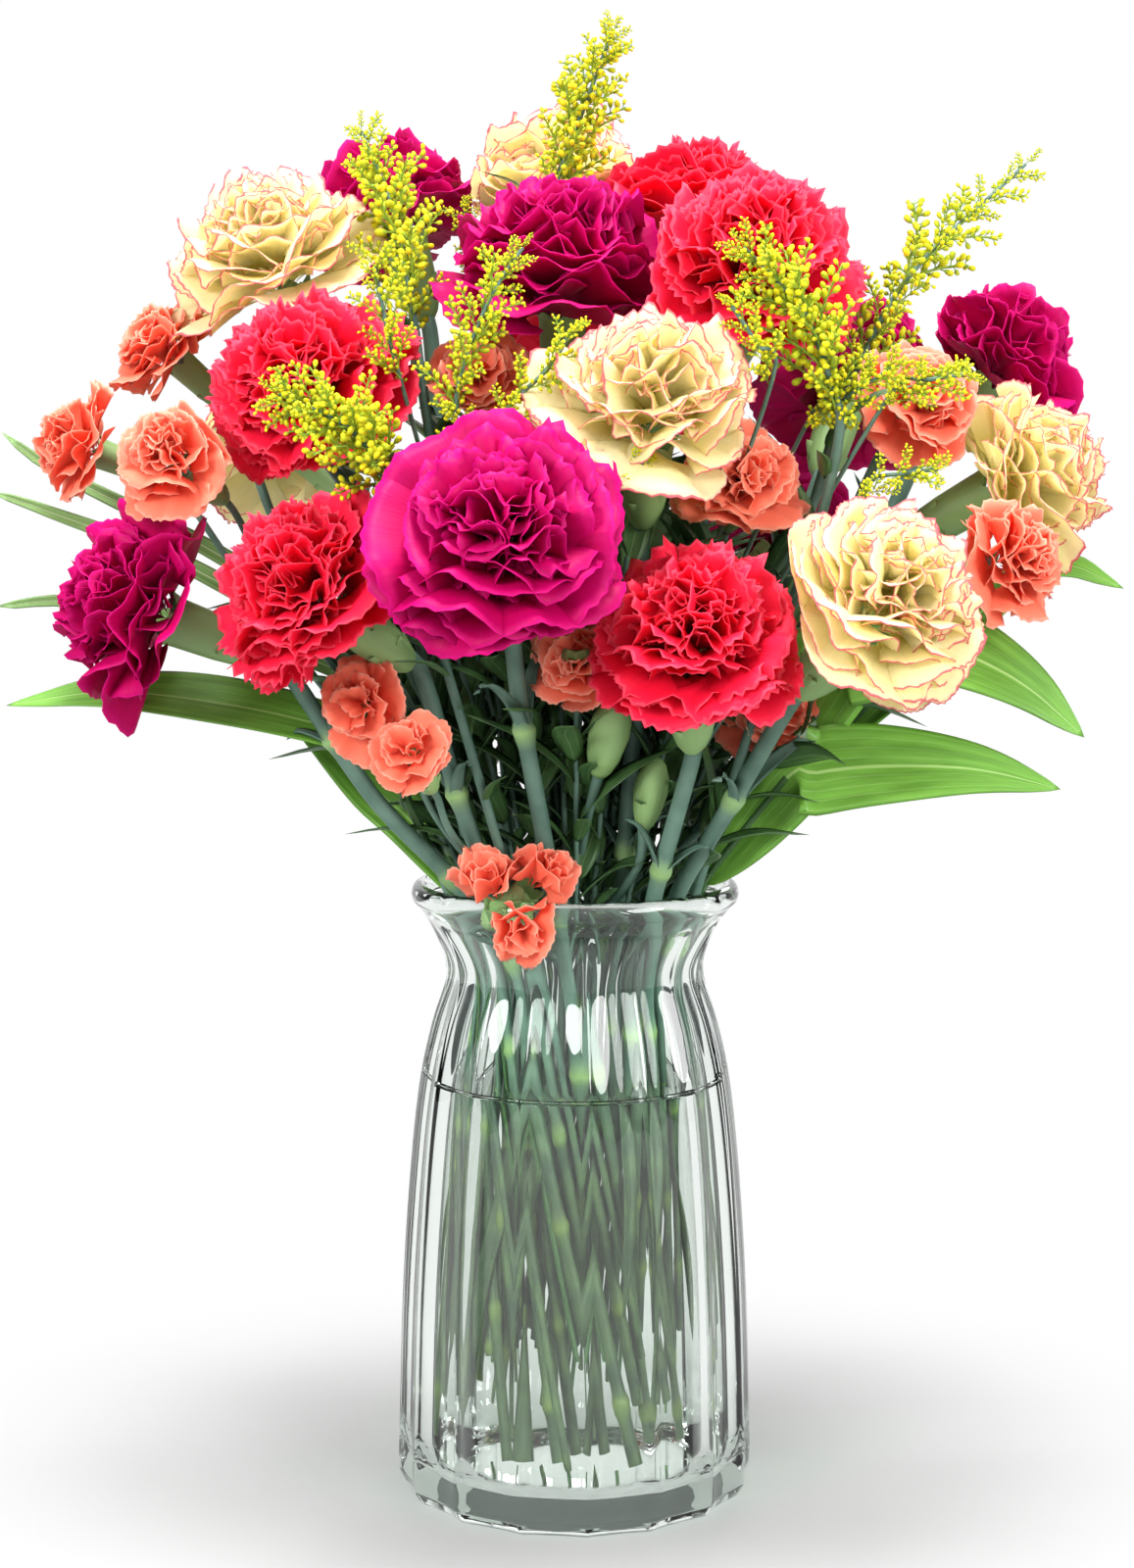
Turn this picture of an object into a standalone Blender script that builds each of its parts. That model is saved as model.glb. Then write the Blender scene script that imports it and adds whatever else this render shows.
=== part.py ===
"""Carnations in a vase: a mixed bunch standing in a fluted glass vase.

Metres, +Z up, origin at the centre of the vase's underside, front of the bunch towards -Y.
Every stem stands on its own in the vase. Layout works out its way up from the floor of the
vase, through the neck, to its bloom, so that no stem touches another stem, a bloom or the glass.
"""

import math

import bmesh
import bpy
import numpy as np
from mathutils import Matrix, Vector

# ---------------------------------------------------------------- driving dimensions, in metres
VASE_HEIGHT = 0.200
RIM_RADIUS = 0.0525
NECK_RADIUS = 0.0412
NECK_DROP = 0.030  # from the rim's top down to the narrowest ring of the neck
SHOULDER_RADIUS = 0.0500
BASE_RADIUS = 0.0575
BASE_CORNER = 0.009
FLOOR_THICKNESS = 0.010
FLOOR_CORNER = 0.012
WALL_THICKNESS = 0.0030
LIP_HEIGHT = 0.007
FLUTE_COUNT = 16
FLUTE_DEPTH = 0.0026
FLUTE_FADE = 0.020  # the flutes grow shallow over this height under the lip
FLUTE_TURN = math.radians(4)  # the ridge nearest the front stands this far to the right
FACETS_PER_FLUTE = 4

STEM_RADIUS = 0.0027
SPRAY_STEM_RADIUS = 0.0018
SPRAY_BRANCH_RADIUS = 0.0013
GOLDENROD_STEM_RADIUS = 0.0016
LEAF_STALK_RADIUS = 0.0013

CALYX_LENGTH = 0.029
CALYX_RADIUS = 0.0073
SPRAY_CALYX_LENGTH = 0.019
SPRAY_CALYX_RADIUS = 0.0043
STEM_BEND = 0.008  # a stem turns to face its bloom's way this far below the calyx
BLOOM_HEIGHT_SHARE = 0.60  # a bloom's height over its diameter
WAVE_DEPTH = 0.04  # of a bloom's wavy edge, as a share of its radius
BLOOM_GAP = 0.0006  # between two blooms that are pressed together
SEAT_GAP = 0.0004  # between a bloom and the mouth of its calyx

LEAF_THICKNESS = 0.0014
PLUME_RADIUS = 0.0085

STEM_GAP = 0.0016  # least free space that the layout leaves round a stem
GLASS_GAP = 0.0012
LEVELS_IN_FLARE = 2
LEVEL_STEP = NECK_DROP / LEVELS_IN_FLARE  # one level of the layout lies at the neck, one at the rim
LAYOUT_ROUNDS = 400
LAST_ROUNDS = 80  # the last rounds only part what still touches
FOOT_TWIST = math.radians(100)  # a hand-tied spiral: feet lie this far round from the neck
FOOT_SPREAD = 0.92  # the widest feet, as a share of the vase's inner radius
FOOT_CLEARANCE = 0.0015  # the lowest cut end stands this far off the floor

# ---------------------------------------------------------------- the arrangement
# In millimetres from the centre of the rim's top, so the bunch rises with the vase.
# colour, bloom centre, the way it faces, diameter
CARNATIONS = [
    ("cream", (-99, 10, 206), (-0.35, -0.25, 0.90), 64),
    ("cream", (-5, 98, 234), (0.00, 0.20, 1.00), 68),
    ("cream", (23, -62, 159), (0.05, -0.50, 0.85), 66),
    ("cream", (94, -88, 100), (0.55, -0.50, 0.70), 64),
    ("cream", (148, -2, 134), (0.85, -0.15, 0.50), 60),
    ("cream", (-104, 82, 148), (-0.70, 0.60, 0.60), 62),
    ("magenta", (-62, 84, 224), (-0.25, 0.30, 0.90), 54),
    ("magenta", (-4, 12, 202), (0.00, -0.15, 1.00), 72),
    ("magenta", (-22, -106, 118), (-0.05, -0.80, 0.60), 68),
    ("magenta", (-141, -36, 92), (-0.90, -0.15, 0.35), 56),
    ("magenta", (148, 66, 172), (0.65, 0.15, 0.75), 54),
    ("magenta", (96, 84, 166), (0.30, 0.60, 0.80), 60),
    ("red", (42, 64, 221), (0.20, 0.25, 0.95), 60),
    ("red", (56, -10, 202), (0.15, -0.55, 0.80), 66),
    ("red", (-87, -36, 162), (-0.50, -0.60, 0.60), 62),
    ("red", (-84, -72, 102), (-0.70, -0.45, 0.60), 60),
    ("red", (35, -82, 90), (0.00, -0.55, 0.85), 62),
    ("red", (8, 136, 166), (0.05, 0.85, 0.50), 66),
    ("magenta", (78, 112, 104), (0.50, 0.80, 0.35), 62),
]
# each spray is one plant: bloom centre, the way it faces, diameter; the first is the leader
SPRAYS = [
    [
        ((-134, 14, 172), (-0.70, -0.20, 0.65), 33),
        ((-160, -2, 140), (-0.90, -0.20, 0.35), 33),
        ((-124, -48, 138), (-0.50, -0.70, 0.50), 35),
    ],
    [
        ((110, -18, 154), (0.35, -0.80, 0.50), 37),
        ((136, -42, 106), (0.80, -0.50, 0.30), 36),
    ],
    [
        ((52, -42, 130), (0.15, -0.80, 0.50), 34),
        ((2, -56, 76), (-0.30, -0.85, 0.35), 30),
    ],
    [
        ((-46, 124, 112), (-0.40, 0.85, 0.30), 36),
    ],
]
# plume: stem end at the lowest floret, a middle point, tip
GOLDENRODS = [
    ((-10, 50, 215), (2, 50, 246), (12, 47, 272)),
    ((-50, -2, 172), (-56, 8, 208), (-68, 20, 238)),
    ((-52, -62, 126), (-66, -78, 144), (-86, -82, 154)),
    ((86, 6, 156), (106, 12, 192), (144, 22, 228)),
    ((80, -44, 146), (70, -48, 176), (50, -52, 198)),
]
# blade: where the stalk ends, two points along the midrib, tip, half width, blade normal
BROAD_LEAVES = [
    ((78, -24, 68), (104, -30, 79), (134, -36, 68), (156, -40, 50), 14, (0.1, -0.85, 0.5)),
    ((66, -26, 36), (90, -32, 40), (122, -38, 40), (149, -40, 34), 12, (0.1, -0.9, 0.35)),
    ((104, 20, 62), (128, 18, 82), (154, 14, 100), (176, 10, 93), 9, (-0.3, -0.6, 0.7)),
    ((-62, -14, 46), (-98, -18, 56), (-142, -20, 62), (-178, -20, 58), 9, (0.0, -0.65, 0.75)),
]

COLOURS = {
    "glass": ((0.88, 0.93, 0.91), 0.05),
    "cream": ((0.96, 0.86, 0.52), 0.55),
    "magenta": ((0.56, 0.01, 0.20), 0.55),
    "red": ((0.86, 0.03, 0.06), 0.55),
    "coral": ((0.90, 0.19, 0.10), 0.55),
    "stem": ((0.19, 0.30, 0.20), 0.60),
    "goldenrod": ((0.62, 0.60, 0.04), 0.70),
    "leaf": ((0.12, 0.30, 0.04), 0.40),
}


def clear_scene():
    for obj in list(bpy.data.objects):
        bpy.data.objects.remove(obj)


def collection(name):
    made = bpy.data.collections.new(name)
    bpy.context.scene.collection.children.link(made)
    return made


def material(name):
    """One Principled material for each finish, made the first time it is asked for."""
    if name in bpy.data.materials:
        return bpy.data.materials[name]
    colour, roughness = COLOURS[name]
    made = bpy.data.materials.new(name)
    made.use_nodes = True
    shader = made.node_tree.nodes["Principled BSDF"]
    shader.inputs["Base Color"].default_value = (*colour, 1.0)
    shader.inputs["Roughness"].default_value = roughness
    shader.inputs["Metallic"].default_value = 0.0
    if name == "glass":
        shader.inputs["Transmission Weight"].default_value = 1.0
    return made


def above_rim(point):
    """A point of the arrangement, in metres from the origin."""
    return Vector(point) / 1000.0 + Vector((0.0, 0.0, VASE_HEIGHT))


def object_from_mesh(name, mesh, finish, home):
    mesh.materials.clear()
    mesh.materials.append(material(finish))
    mesh.shade_smooth()
    obj = bpy.data.objects.new(name, mesh)
    home.objects.link(obj)
    return obj


def object_from_bmesh(name, bm, finish, home):
    bmesh.ops.recalc_face_normals(bm, faces=bm.faces)
    mesh = bpy.data.meshes.new(name)
    bm.to_mesh(mesh)
    bm.free()
    return object_from_mesh(name, mesh, finish, home)


def evaluated_mesh(obj):
    """The object's mesh as its modifiers or its bevel make it, with its seams welded."""
    bpy.context.view_layer.update()
    graph = bpy.context.evaluated_depsgraph_get()
    mesh = bpy.data.meshes.new_from_object(obj.evaluated_get(graph))
    bm = bmesh.new()
    bm.from_mesh(mesh)
    bmesh.ops.remove_doubles(bm, verts=bm.verts, dist=1e-6)
    bm.to_mesh(mesh)
    bm.free()
    return mesh


# ---------------------------------------------------------------- the vase
def outer_profile():
    """(radius, height) down the outside of the vase, over the ridges between the flutes."""
    neck_height = VASE_HEIGHT - NECK_DROP
    lip_bottom = VASE_HEIGHT - LIP_HEIGHT
    body = neck_height - BASE_CORNER
    taper = BASE_RADIUS - SHOULDER_RADIUS
    return [
        (RIM_RADIUS - 0.0030, VASE_HEIGHT),
        (RIM_RADIUS - 0.0008, VASE_HEIGHT - 0.0012),
        (RIM_RADIUS, VASE_HEIGHT - 0.5 * LIP_HEIGHT),
        (RIM_RADIUS - 0.0022, lip_bottom),
        (NECK_RADIUS, neck_height),
        (SHOULDER_RADIUS, BASE_CORNER + body * 0.79),
        (BASE_RADIUS - taper * 0.62, BASE_CORNER + body * 0.64),
        (BASE_RADIUS - taper * 0.24, BASE_CORNER + body * 0.38),
        (BASE_RADIUS, BASE_CORNER),
        (BASE_RADIUS - BASE_CORNER * 0.30, BASE_CORNER * 0.30),
        (BASE_RADIUS - BASE_CORNER, 0.0),
        (0.0, 0.0),
    ]


def inner_radius(height):
    """Radius of the smooth bore at a height between the floor's corner and the lip."""
    wall = outer_profile()[3:9]
    heights = [z for _, z in reversed(wall)]
    outer = np.interp(height, heights, [r for r, _ in reversed(wall)])
    return float(outer) - FLUTE_DEPTH - WALL_THICKNESS


def inner_profile():
    """(radius, height) up the inside of the vase, from the middle of its floor to the lip."""
    corner = FLOOR_THICKNESS + FLOOR_CORNER
    wide = inner_radius(corner)
    bore = [(inner_radius(z), z) for _, z in reversed(outer_profile()[3:8])]
    return [
        (0.0, FLOOR_THICKNESS),
        (wide - FLOOR_CORNER, FLOOR_THICKNESS),
        (wide - FLOOR_CORNER * 0.30, FLOOR_THICKNESS + FLOOR_CORNER * 0.30),
        (wide, corner),
        *bore,
        (RIM_RADIUS - LIP_HEIGHT * 0.75, VASE_HEIGHT - 0.0012),
        (RIM_RADIUS - 0.0030, VASE_HEIGHT),
    ]


def flute_depth(height):
    """The flutes run from the foot to the flare and fade out under the lip."""
    fade_from = VASE_HEIGHT - LIP_HEIGHT
    near_lip = min(1.0, max(0.0, (fade_from - height) / FLUTE_FADE))
    at_foot = min(1.0, (0.5 * BASE_CORNER + height) / BASE_CORNER)
    return FLUTE_DEPTH * near_lip * at_foot


def build_vase(home):
    """A turned profile whose outside is hollowed into flutes."""
    outline = outer_profile() + inner_profile()
    profile = bpy.data.meshes.new("vase_profile")
    edges = [(i, i + 1) for i in range(len(outline) - 1)]
    profile.from_pydata([(r, 0.0, z) for r, z in outline], edges, [])
    turned = bpy.data.objects.new("vase_profile", profile)
    home.objects.link(turned)
    screw = turned.modifiers.new("turn", "SCREW")
    screw.steps = FLUTE_COUNT * FACETS_PER_FLUTE
    screw.render_steps = screw.steps
    screw.use_merge_vertices = True
    screw.merge_threshold = 0.00001
    mesh = evaluated_mesh(turned)
    bpy.data.objects.remove(turned)
    for vert in mesh.vertices:
        radius = math.hypot(vert.co.x, vert.co.y)
        floor = vert.co.z < FLOOR_THICKNESS
        if not floor and radius < inner_radius(vert.co.z) + 0.5 * WALL_THICKNESS:
            continue
        across = math.atan2(vert.co.y, vert.co.x) * FLUTE_COUNT / (2 * math.pi) % 1.0
        hollow = 1.0 - (2.0 * across - 1.0) ** 2
        sunk = flute_depth(vert.co.z) * hollow * min(1.0, radius / NECK_RADIUS)
        if radius > 0.0:
            vert.co.x *= 1.0 - sunk / radius
            vert.co.y *= 1.0 - sunk / radius
    mesh.transform(Matrix.Rotation(FLUTE_TURN, 4, "Z"))
    return object_from_mesh("vase", mesh, "glass", home)


# ---------------------------------------------------------------- ways up for the stems
class Stem:
    """A stem's way up: where it ends, how thick it is, and the plant that it belongs to."""

    def __init__(self, name, plant, end, radius, branch=0):
        self.name = name
        self.plant = plant
        self.end = end
        self.radius = radius
        self.branch = branch  # 0 for a leader, which stands in the vase
        self.tip = []  # (point, radius) beyond the end: the calyx or the plume
        self.way = []

    def points(self):
        return [(point, self.radius) for point in self.way] + self.tip


class Layout:
    """Finds every stem's way by relaxation.

    Each stem is a disc on each of a stack of levels. Smoothing pulls it straight between its
    ends, discs that come too close push each other apart, blooms and leaves push stems out of
    the way and the glass keeps them in. The number of rounds is fixed, so the result is always
    the same.
    """

    def __init__(self, stems, obstacles):
        self.stems = stems
        self.obstacles = obstacles
        top = max(stem.end.z for stem in stems)
        neck = VASE_HEIGHT - NECK_DROP
        below = int((neck - FLOOR_THICKNESS - FOOT_CLEARANCE) / LEVEL_STEP)
        above = int((top - neck) / LEVEL_STEP) + 2
        self.heights = neck + LEVEL_STEP * np.arange(-below, above)
        corner = FLOOR_THICKNESS + FLOOR_CORNER
        self.bore = np.array([inner_radius(max(z, corner)) for z in self.heights])
        self.rim_level = below + LEVELS_IN_FLARE
        self.in_glass = np.arange(len(self.heights)) <= self.rim_level
        self.radius = np.array([stem.radius for stem in stems])
        plants = sorted({stem.plant for stem in stems})
        plant = np.array([plants.index(stem.plant) for stem in stems])
        self.strangers = plant[:, None] != plant[None, :]
        self.leaders = sorted(
            (stem for stem in stems if stem.branch == 0),
            key=lambda stem: math.hypot(stem.end.x, stem.end.y),
        )
        self.leader_of = [self.row(stem) for stem in stems]
        self.first = np.array([self.first_level(stem) for stem in stems])
        tops = [int((stem.end.z - self.heights[0]) / LEVEL_STEP) for stem in stems]
        self.last = np.maximum(tops, self.first + 1)
        self.place = np.array([self.straight_way(stem) for stem in stems])
        level = np.arange(len(self.heights))
        self.active = (level >= self.first[:, None]) & (level <= self.last[:, None])

    def row(self, stem):
        same_plant = [other for other in self.leaders if other.plant == stem.plant]
        return self.stems.index(same_plant[0])

    def first_level(self, stem):
        """Cut ends stand at odd heights, and branches start above the neck."""
        if stem.branch == 0:
            return self.leaders.index(stem) * 2 % 3
        return self.rim_level + 2 * stem.branch

    def straight_way(self, stem):
        """The first guess: straight from the foot to the neck, and on to the bloom."""
        rank = self.leaders.index(self.stems[self.row(stem)])
        ring = math.sqrt((rank + 0.5) / len(self.leaders))
        leader = self.leaders[rank]
        turn = math.atan2(leader.end.y, leader.end.x)
        neck = VASE_HEIGHT - NECK_DROP
        at_neck = ring * (inner_radius(neck) - GLASS_GAP - leader.radius)
        at_foot = ring * FOOT_SPREAD * inner_radius(FLOOR_THICKNESS + FLOOR_CORNER)
        marks = [(at_foot, turn + FOOT_TWIST, self.heights[0]), (at_neck, turn, neck)]
        knots = [(r * math.cos(t), r * math.sin(t), z) for r, t, z in marks]
        knots.append(tuple(stem.end))
        z = [knot[2] for knot in knots]
        return np.stack([np.interp(self.heights, z, [k[axis] for k in knots]) for axis in (0, 1)], 1)

    def slant(self):
        """How much wider a leaning stem's cut through a level is than the stem itself."""
        slope = np.linalg.norm(np.gradient(self.place, LEVEL_STEP, axis=1), axis=2)
        return np.sqrt(1 + np.minimum(slope, 1.6) ** 2)

    def smooth(self):
        middle = (self.place[:, 2:] + self.place[:, :-2]) / 2
        inner = self.active[:, 2:] & self.active[:, 1:-1] & self.active[:, :-2]
        self.place[:, 1:-1][inner] += 0.35 * (middle - self.place[:, 1:-1])[inner]

    def part_stems(self, slant):
        apart = self.place[:, None] - self.place[None]
        distance = np.linalg.norm(apart, axis=3) + 1e-9
        lean = np.maximum(slant[:, None], slant[None])
        wanted = (self.radius[:, None, None] + self.radius[None, :, None] + STEM_GAP) * lean
        both = self.active[:, None] & self.active[None] & self.strangers[:, :, None]
        push = np.where(both, np.maximum(0, wanted - distance), 0) * 0.35
        self.place += (apart / distance[..., None] * push[..., None]).sum(axis=1)

    def clear_obstacles(self, slant):
        for owner, centre, radius in self.obstacles:
            disc = np.sqrt(np.maximum(0, radius**2 - (self.heights - centre.z) ** 2))
            away = self.place - np.array(centre[:2])
            span = np.linalg.norm(away, axis=2) + 1e-9
            wanted = (disc[None] + (self.radius[:, None] + STEM_GAP) * slant) * (disc > 0)
            wanted *= np.array([stem.name != owner for stem in self.stems])[:, None]
            push = np.maximum(0, wanted - span) * 0.5
            self.place += away / span[..., None] * push[..., None]

    def keep_in_glass(self, slant):
        limit = self.bore[None] - GLASS_GAP - self.radius[:, None] * slant
        out = np.linalg.norm(self.place, axis=2) + 1e-9
        shrink = np.where(self.in_glass[None] & (out > limit), limit / out, 1.0)
        self.place *= shrink[..., None]

    def straighten(self):
        """Above the rim only every other level becomes a point of the stem. A level between two
        such points passes its push on to them and lies on the straight line between them."""
        for level in range(self.rim_level + 1, len(self.heights) - 1, 2):
            low, high = self.place[:, level - 1], self.place[:, level + 1]
            bend = (self.place[:, level] - (low + high) / 2) * self.active[:, level, None]
            low += bend / 2
            high += bend / 2
            self.place[:, level] = (low + high) / 2

    def hold_ends(self):
        for number, stem in enumerate(self.stems):
            self.place[number, self.last[number]] = stem.end[:2]
            if stem.branch:
                start = self.first[number]
                self.place[number, start] = self.place[self.leader_of[number], start]

    def settle(self):
        for turn in range(LAYOUT_ROUNDS):
            if turn < LAYOUT_ROUNDS - LAST_ROUNDS:
                self.smooth()
            slant = self.slant()
            self.part_stems(slant)
            self.clear_obstacles(slant)
            self.straighten()
            self.keep_in_glass(slant)
            self.hold_ends()
        for number, stem in enumerate(self.stems):
            levels = range(self.first[number], self.last[number])
            kept = [k for k in levels if k <= self.rim_level or (k - self.rim_level) % 2 == 0]
            stem.way = [Vector((*self.place[number, k], self.heights[k])) for k in kept]
            stem.way.append(stem.end.copy())


# ---------------------------------------------------------------- tubes, blooms and blades
def tube(name, points, finish, home):
    """A round stem through (centre, radius) points, with its ends closed."""
    curve = bpy.data.curves.new(name, "CURVE")
    curve.dimensions = "3D"
    curve.bevel_depth = 1.0
    curve.bevel_resolution = 1
    curve.use_fill_caps = True
    spline = curve.splines.new("POLY")
    spline.points.add(len(points) - 1)
    for knot, (centre, radius) in zip(spline.points, points):
        knot.co = (*centre, 1.0)
        knot.radius = radius
    curve.materials.append(material(finish))
    obj = bpy.data.objects.new(name, curve)
    home.objects.link(obj)
    return obj


def tube_as_mesh(name, points, finish, home):
    """The same stem as a closed mesh, for a Boolean."""
    curve = tube(f"{name}_curve", points, finish, home)
    made = object_from_mesh(name, evaluated_mesh(curve), finish, home)
    made.matrix_world = curve.matrix_world
    bpy.data.objects.remove(curve)
    return made


def calyx(base, facing, length, radius, stem_radius):
    """(point, radius) up a calyx that ends, open-mouthed, at the base of its bloom."""
    shape = [(0.92, 0.55), (0.70, 0.86), (0.30, 0.96), (0.0, 1.0)]
    points = [(base - facing * length, stem_radius)]
    points += [(base - facing * length * back, radius * share) for back, share in shape]
    return points


class Bloom:
    """A ruffled head: its colour, the mouth of its calyx, the way it faces and its size."""

    def __init__(self, name, finish, centre, facing, diameter, lobes):
        self.name = name
        self.finish = finish
        self.centre = above_rim(centre)
        self.facing = Vector(facing).normalized()
        self.diameter = diameter / 1000.0
        self.height = self.diameter * BLOOM_HEIGHT_SHARE
        self.base = self.centre - self.facing * self.height * 0.5
        self.lobes = lobes

    def build(self, others, home):
        """A sphere drawn out to a wavy dome, pressed flat where it meets another bloom."""
        bm = bmesh.new()
        bmesh.ops.create_uvsphere(bm, u_segments=2 * self.lobes, v_segments=self.lobes + 1, radius=1.0)
        for vert in bm.verts:
            across = math.hypot(vert.co.x, vert.co.y)
            turn = math.atan2(vert.co.y, vert.co.x)
            wave = 1.0 + WAVE_DEPTH * math.cos(self.lobes * turn) * across
            radius = 0.5 * self.diameter * across**0.8 * wave
            rise = (0.5 * (vert.co.z + 1.0)) ** 0.85
            height = SEAT_GAP + (self.height - SEAT_GAP) * rise
            vert.co = (radius * math.cos(turn), radius * math.sin(turn), height)
        turn = self.facing.to_track_quat("Z", "Y").to_matrix().to_4x4()
        bm.transform(Matrix.Translation(self.base) @ turn)
        for other in others:
            self.press(bm, other)
        return object_from_bmesh(self.name, bm, self.finish, home)

    def press(self, bm, other):
        """Move what would reach into the other bloom back to the plane between the two."""
        between = other.centre - self.centre
        distance = between.length
        mine = 0.25 * self.diameter**2
        theirs = 0.25 * other.diameter**2
        plane = (distance**2 + mine - theirs) / (2 * distance) - 0.5 * BLOOM_GAP
        between.normalize()
        for vert in bm.verts:
            beyond = (vert.co - self.centre).dot(between) - plane
            if beyond > 0.0:
                vert.co -= between * beyond


def smooth_way(points, steps):
    """Points along a smooth curve through the given ones, steps for each stretch."""
    padded = [2 * points[0] - points[1], *points, 2 * points[-1] - points[-2]]
    made = []
    for before, start, end, after in zip(padded, padded[1:], padded[2:], padded[3:]):
        for step in range(steps):
            t = step / steps
            bend = 2 * before - 5 * start + 4 * end - after
            twist = 3 * start - before - 3 * end + after
            made.append(0.5 * (2 * start + (end - before) * t + bend * t**2 + twist * t**3))
    made.append(points[-1])
    return made


class Leaf:
    """A blade on a stalk: its stem, the midrib of its blade, and how wide and which way up."""

    def __init__(self, name, midrib, half_width, normal):
        self.name = name
        self.midrib = [above_rim(point) for point in midrib]
        self.half_width = half_width / 1000.0
        self.normal = Vector(normal).normalized()
        self.stem = Stem(name, name, self.midrib[0], LEAF_STALK_RADIUS)

    def rings(self):
        """(centre, half width, half thickness) up the stalk and along the blade."""
        rings = [(point, LEAF_STALK_RADIUS, LEAF_STALK_RADIUS) for point in self.stem.way[:-1]]
        blade = smooth_way(self.midrib, 3)
        last = len(blade) - 1
        for number, point in enumerate(blade):
            swell = math.sin(math.pi * min(1.0, 0.04 + 0.96 * number / last) ** 0.8) ** 0.8
            narrowest = LEAF_STALK_RADIUS * (1.0 - 0.5 * number / last)
            wide = max(narrowest, self.half_width * max(0.0, swell.real))
            rings.append((point, wide, LEAF_THICKNESS / 2))
        return rings

    def build(self, home, sides=6):
        """A loft from the round stalk to the thin blade."""
        rings = self.rings()
        bm = bmesh.new()
        loops = []
        for number, (point, wide, thick) in enumerate(rings):
            before = rings[max(0, number - 1)][0]
            after = rings[min(len(rings) - 1, number + 1)][0]
            along = (after - before).normalized()
            across = along.cross(self.normal).normalized()
            up = across.cross(along)
            loop = []
            for side in range(sides):
                turn = 2 * math.pi * side / sides
                corner = point + across * wide * math.cos(turn) + up * thick * math.sin(turn)
                loop.append(bm.verts.new(corner))
            loops.append(loop)
        for low, high in zip(loops, loops[1:]):
            for side in range(sides):
                after = (side + 1) % sides
                bm.faces.new((low[side], low[after], high[after], high[side]))
        bm.faces.new(loops[0])
        bm.faces.new(loops[-1])
        return object_from_bmesh(self.name, bm, "leaf", home)


# ---------------------------------------------------------------- the bunch
def plan_carnations():
    """(stem, bloom) for each standard carnation."""
    planned = []
    counts = {}
    for colour, centre, facing, diameter in CARNATIONS:
        counts[colour] = counts.get(colour, 0) + 1
        name = f"{colour}_carnation_{counts[colour]}"
        bloom = Bloom(f"{name}_bloom", colour, centre, facing, diameter, 7)
        end = bloom.base - bloom.facing * (CALYX_LENGTH + STEM_BEND)
        stem = Stem(f"{name}_stem", name, end, STEM_RADIUS)
        stem.tip = calyx(bloom.base, bloom.facing, CALYX_LENGTH, CALYX_RADIUS, STEM_RADIUS)
        planned.append((stem, bloom))
    return planned


def plan_sprays():
    """(stem, bloom) for each branch of each spray. A spray branches above the neck."""
    planned = []
    for plant, heads in enumerate(SPRAYS, start=1):
        for branch, (centre, facing, diameter) in enumerate(heads):
            bloom = Bloom(f"coral_bloom_{len(planned) + 1}", "coral", centre, facing, diameter, 5)
            radius = SPRAY_BRANCH_RADIUS if branch else SPRAY_STEM_RADIUS
            end = bloom.base - bloom.facing * (SPRAY_CALYX_LENGTH + STEM_BEND)
            name = f"spray_{plant}_branch_{branch}"
            stem = Stem(name, f"spray_{plant}", end, radius, branch)
            stem.tip = calyx(bloom.base, bloom.facing, SPRAY_CALYX_LENGTH, SPRAY_CALYX_RADIUS, radius)
            planned.append((stem, bloom))
    return planned


def plan_goldenrods():
    """A stem for each goldenrod, with its plume of florets as the stem's tip."""
    planned = []
    for number, points in enumerate(GOLDENRODS, start=1):
        plume = smooth_way([above_rim(point) for point in points], 3)
        stem = Stem(f"goldenrod_{number}", f"goldenrod_{number}", plume[0], GOLDENROD_STEM_RADIUS)
        shares = [0.75, 1.0, 0.95, 0.75, 0.50, 0.20]
        stem.tip = [(point, PLUME_RADIUS * share) for point, share in zip(plume[1:], shares)]
        planned.append(stem)
    return planned


def plan_leaves():
    leaves = []
    for number, (*midrib, half_width, normal) in enumerate(BROAD_LEAVES, start=1):
        leaves.append(Leaf(f"broad_leaf_{number}", midrib, half_width, normal))
    return leaves


def obstacles_of(headed, goldenrods, leaves):
    """(owner, centre, radius) of the balls that no other stem may pass through."""
    balls = []
    for stem, bloom in headed:
        balls.append((stem.name, bloom.centre, bloom.diameter * 0.46))
        balls += [(stem.name, point, radius) for point, radius in stem.tip]
    for stem in goldenrods:
        balls += [(stem.name, point, radius) for point, radius in stem.tip]
    for leaf in leaves:
        balls += [(leaf.name, point, leaf.half_width * 0.5) for point in smooth_way(leaf.midrib, 3)]
    return balls


def build_spray(name, stems, home):
    """Join a spray's leader and branches into the one plant that they are."""
    whole = None
    for stem in stems:
        part = tube_as_mesh(stem.name, stem.points(), "stem", home)
        if whole is None:
            whole = part
            continue
        join = whole.modifiers.new("join", "BOOLEAN")
        join.operation = "UNION"
        join.object = part
        joined = evaluated_mesh(whole)
        whole.modifiers.clear()
        whole.data = joined
        bpy.data.objects.remove(part)
    whole.name = name
    return whole


def build():
    clear_scene()
    home = collection("carnations_in_a_vase")
    build_vase(home)
    carnations = plan_carnations()
    sprays = plan_sprays()
    headed = carnations + sprays
    goldenrods = plan_goldenrods()
    leaves = plan_leaves()
    stems = [stem for stem, _ in headed] + goldenrods + [leaf.stem for leaf in leaves]
    Layout(stems, obstacles_of(headed, goldenrods, leaves)).settle()
    blooms = [bloom for _, bloom in headed]
    for bloom in blooms:
        bloom.build([other for other in blooms if other is not bloom], home)
    for stem, _ in carnations:
        tube(stem.name, stem.points(), "stem", home)
    for plant in sorted({stem.plant for stem, _ in sprays}):
        build_spray(f"{plant}_stem", [stem for stem, _ in sprays if stem.plant == plant], home)
    for stem in goldenrods:
        tube(stem.name, stem.points(), "goldenrod", home)
    for leaf in leaves:
        leaf.build(home)


build()
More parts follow.
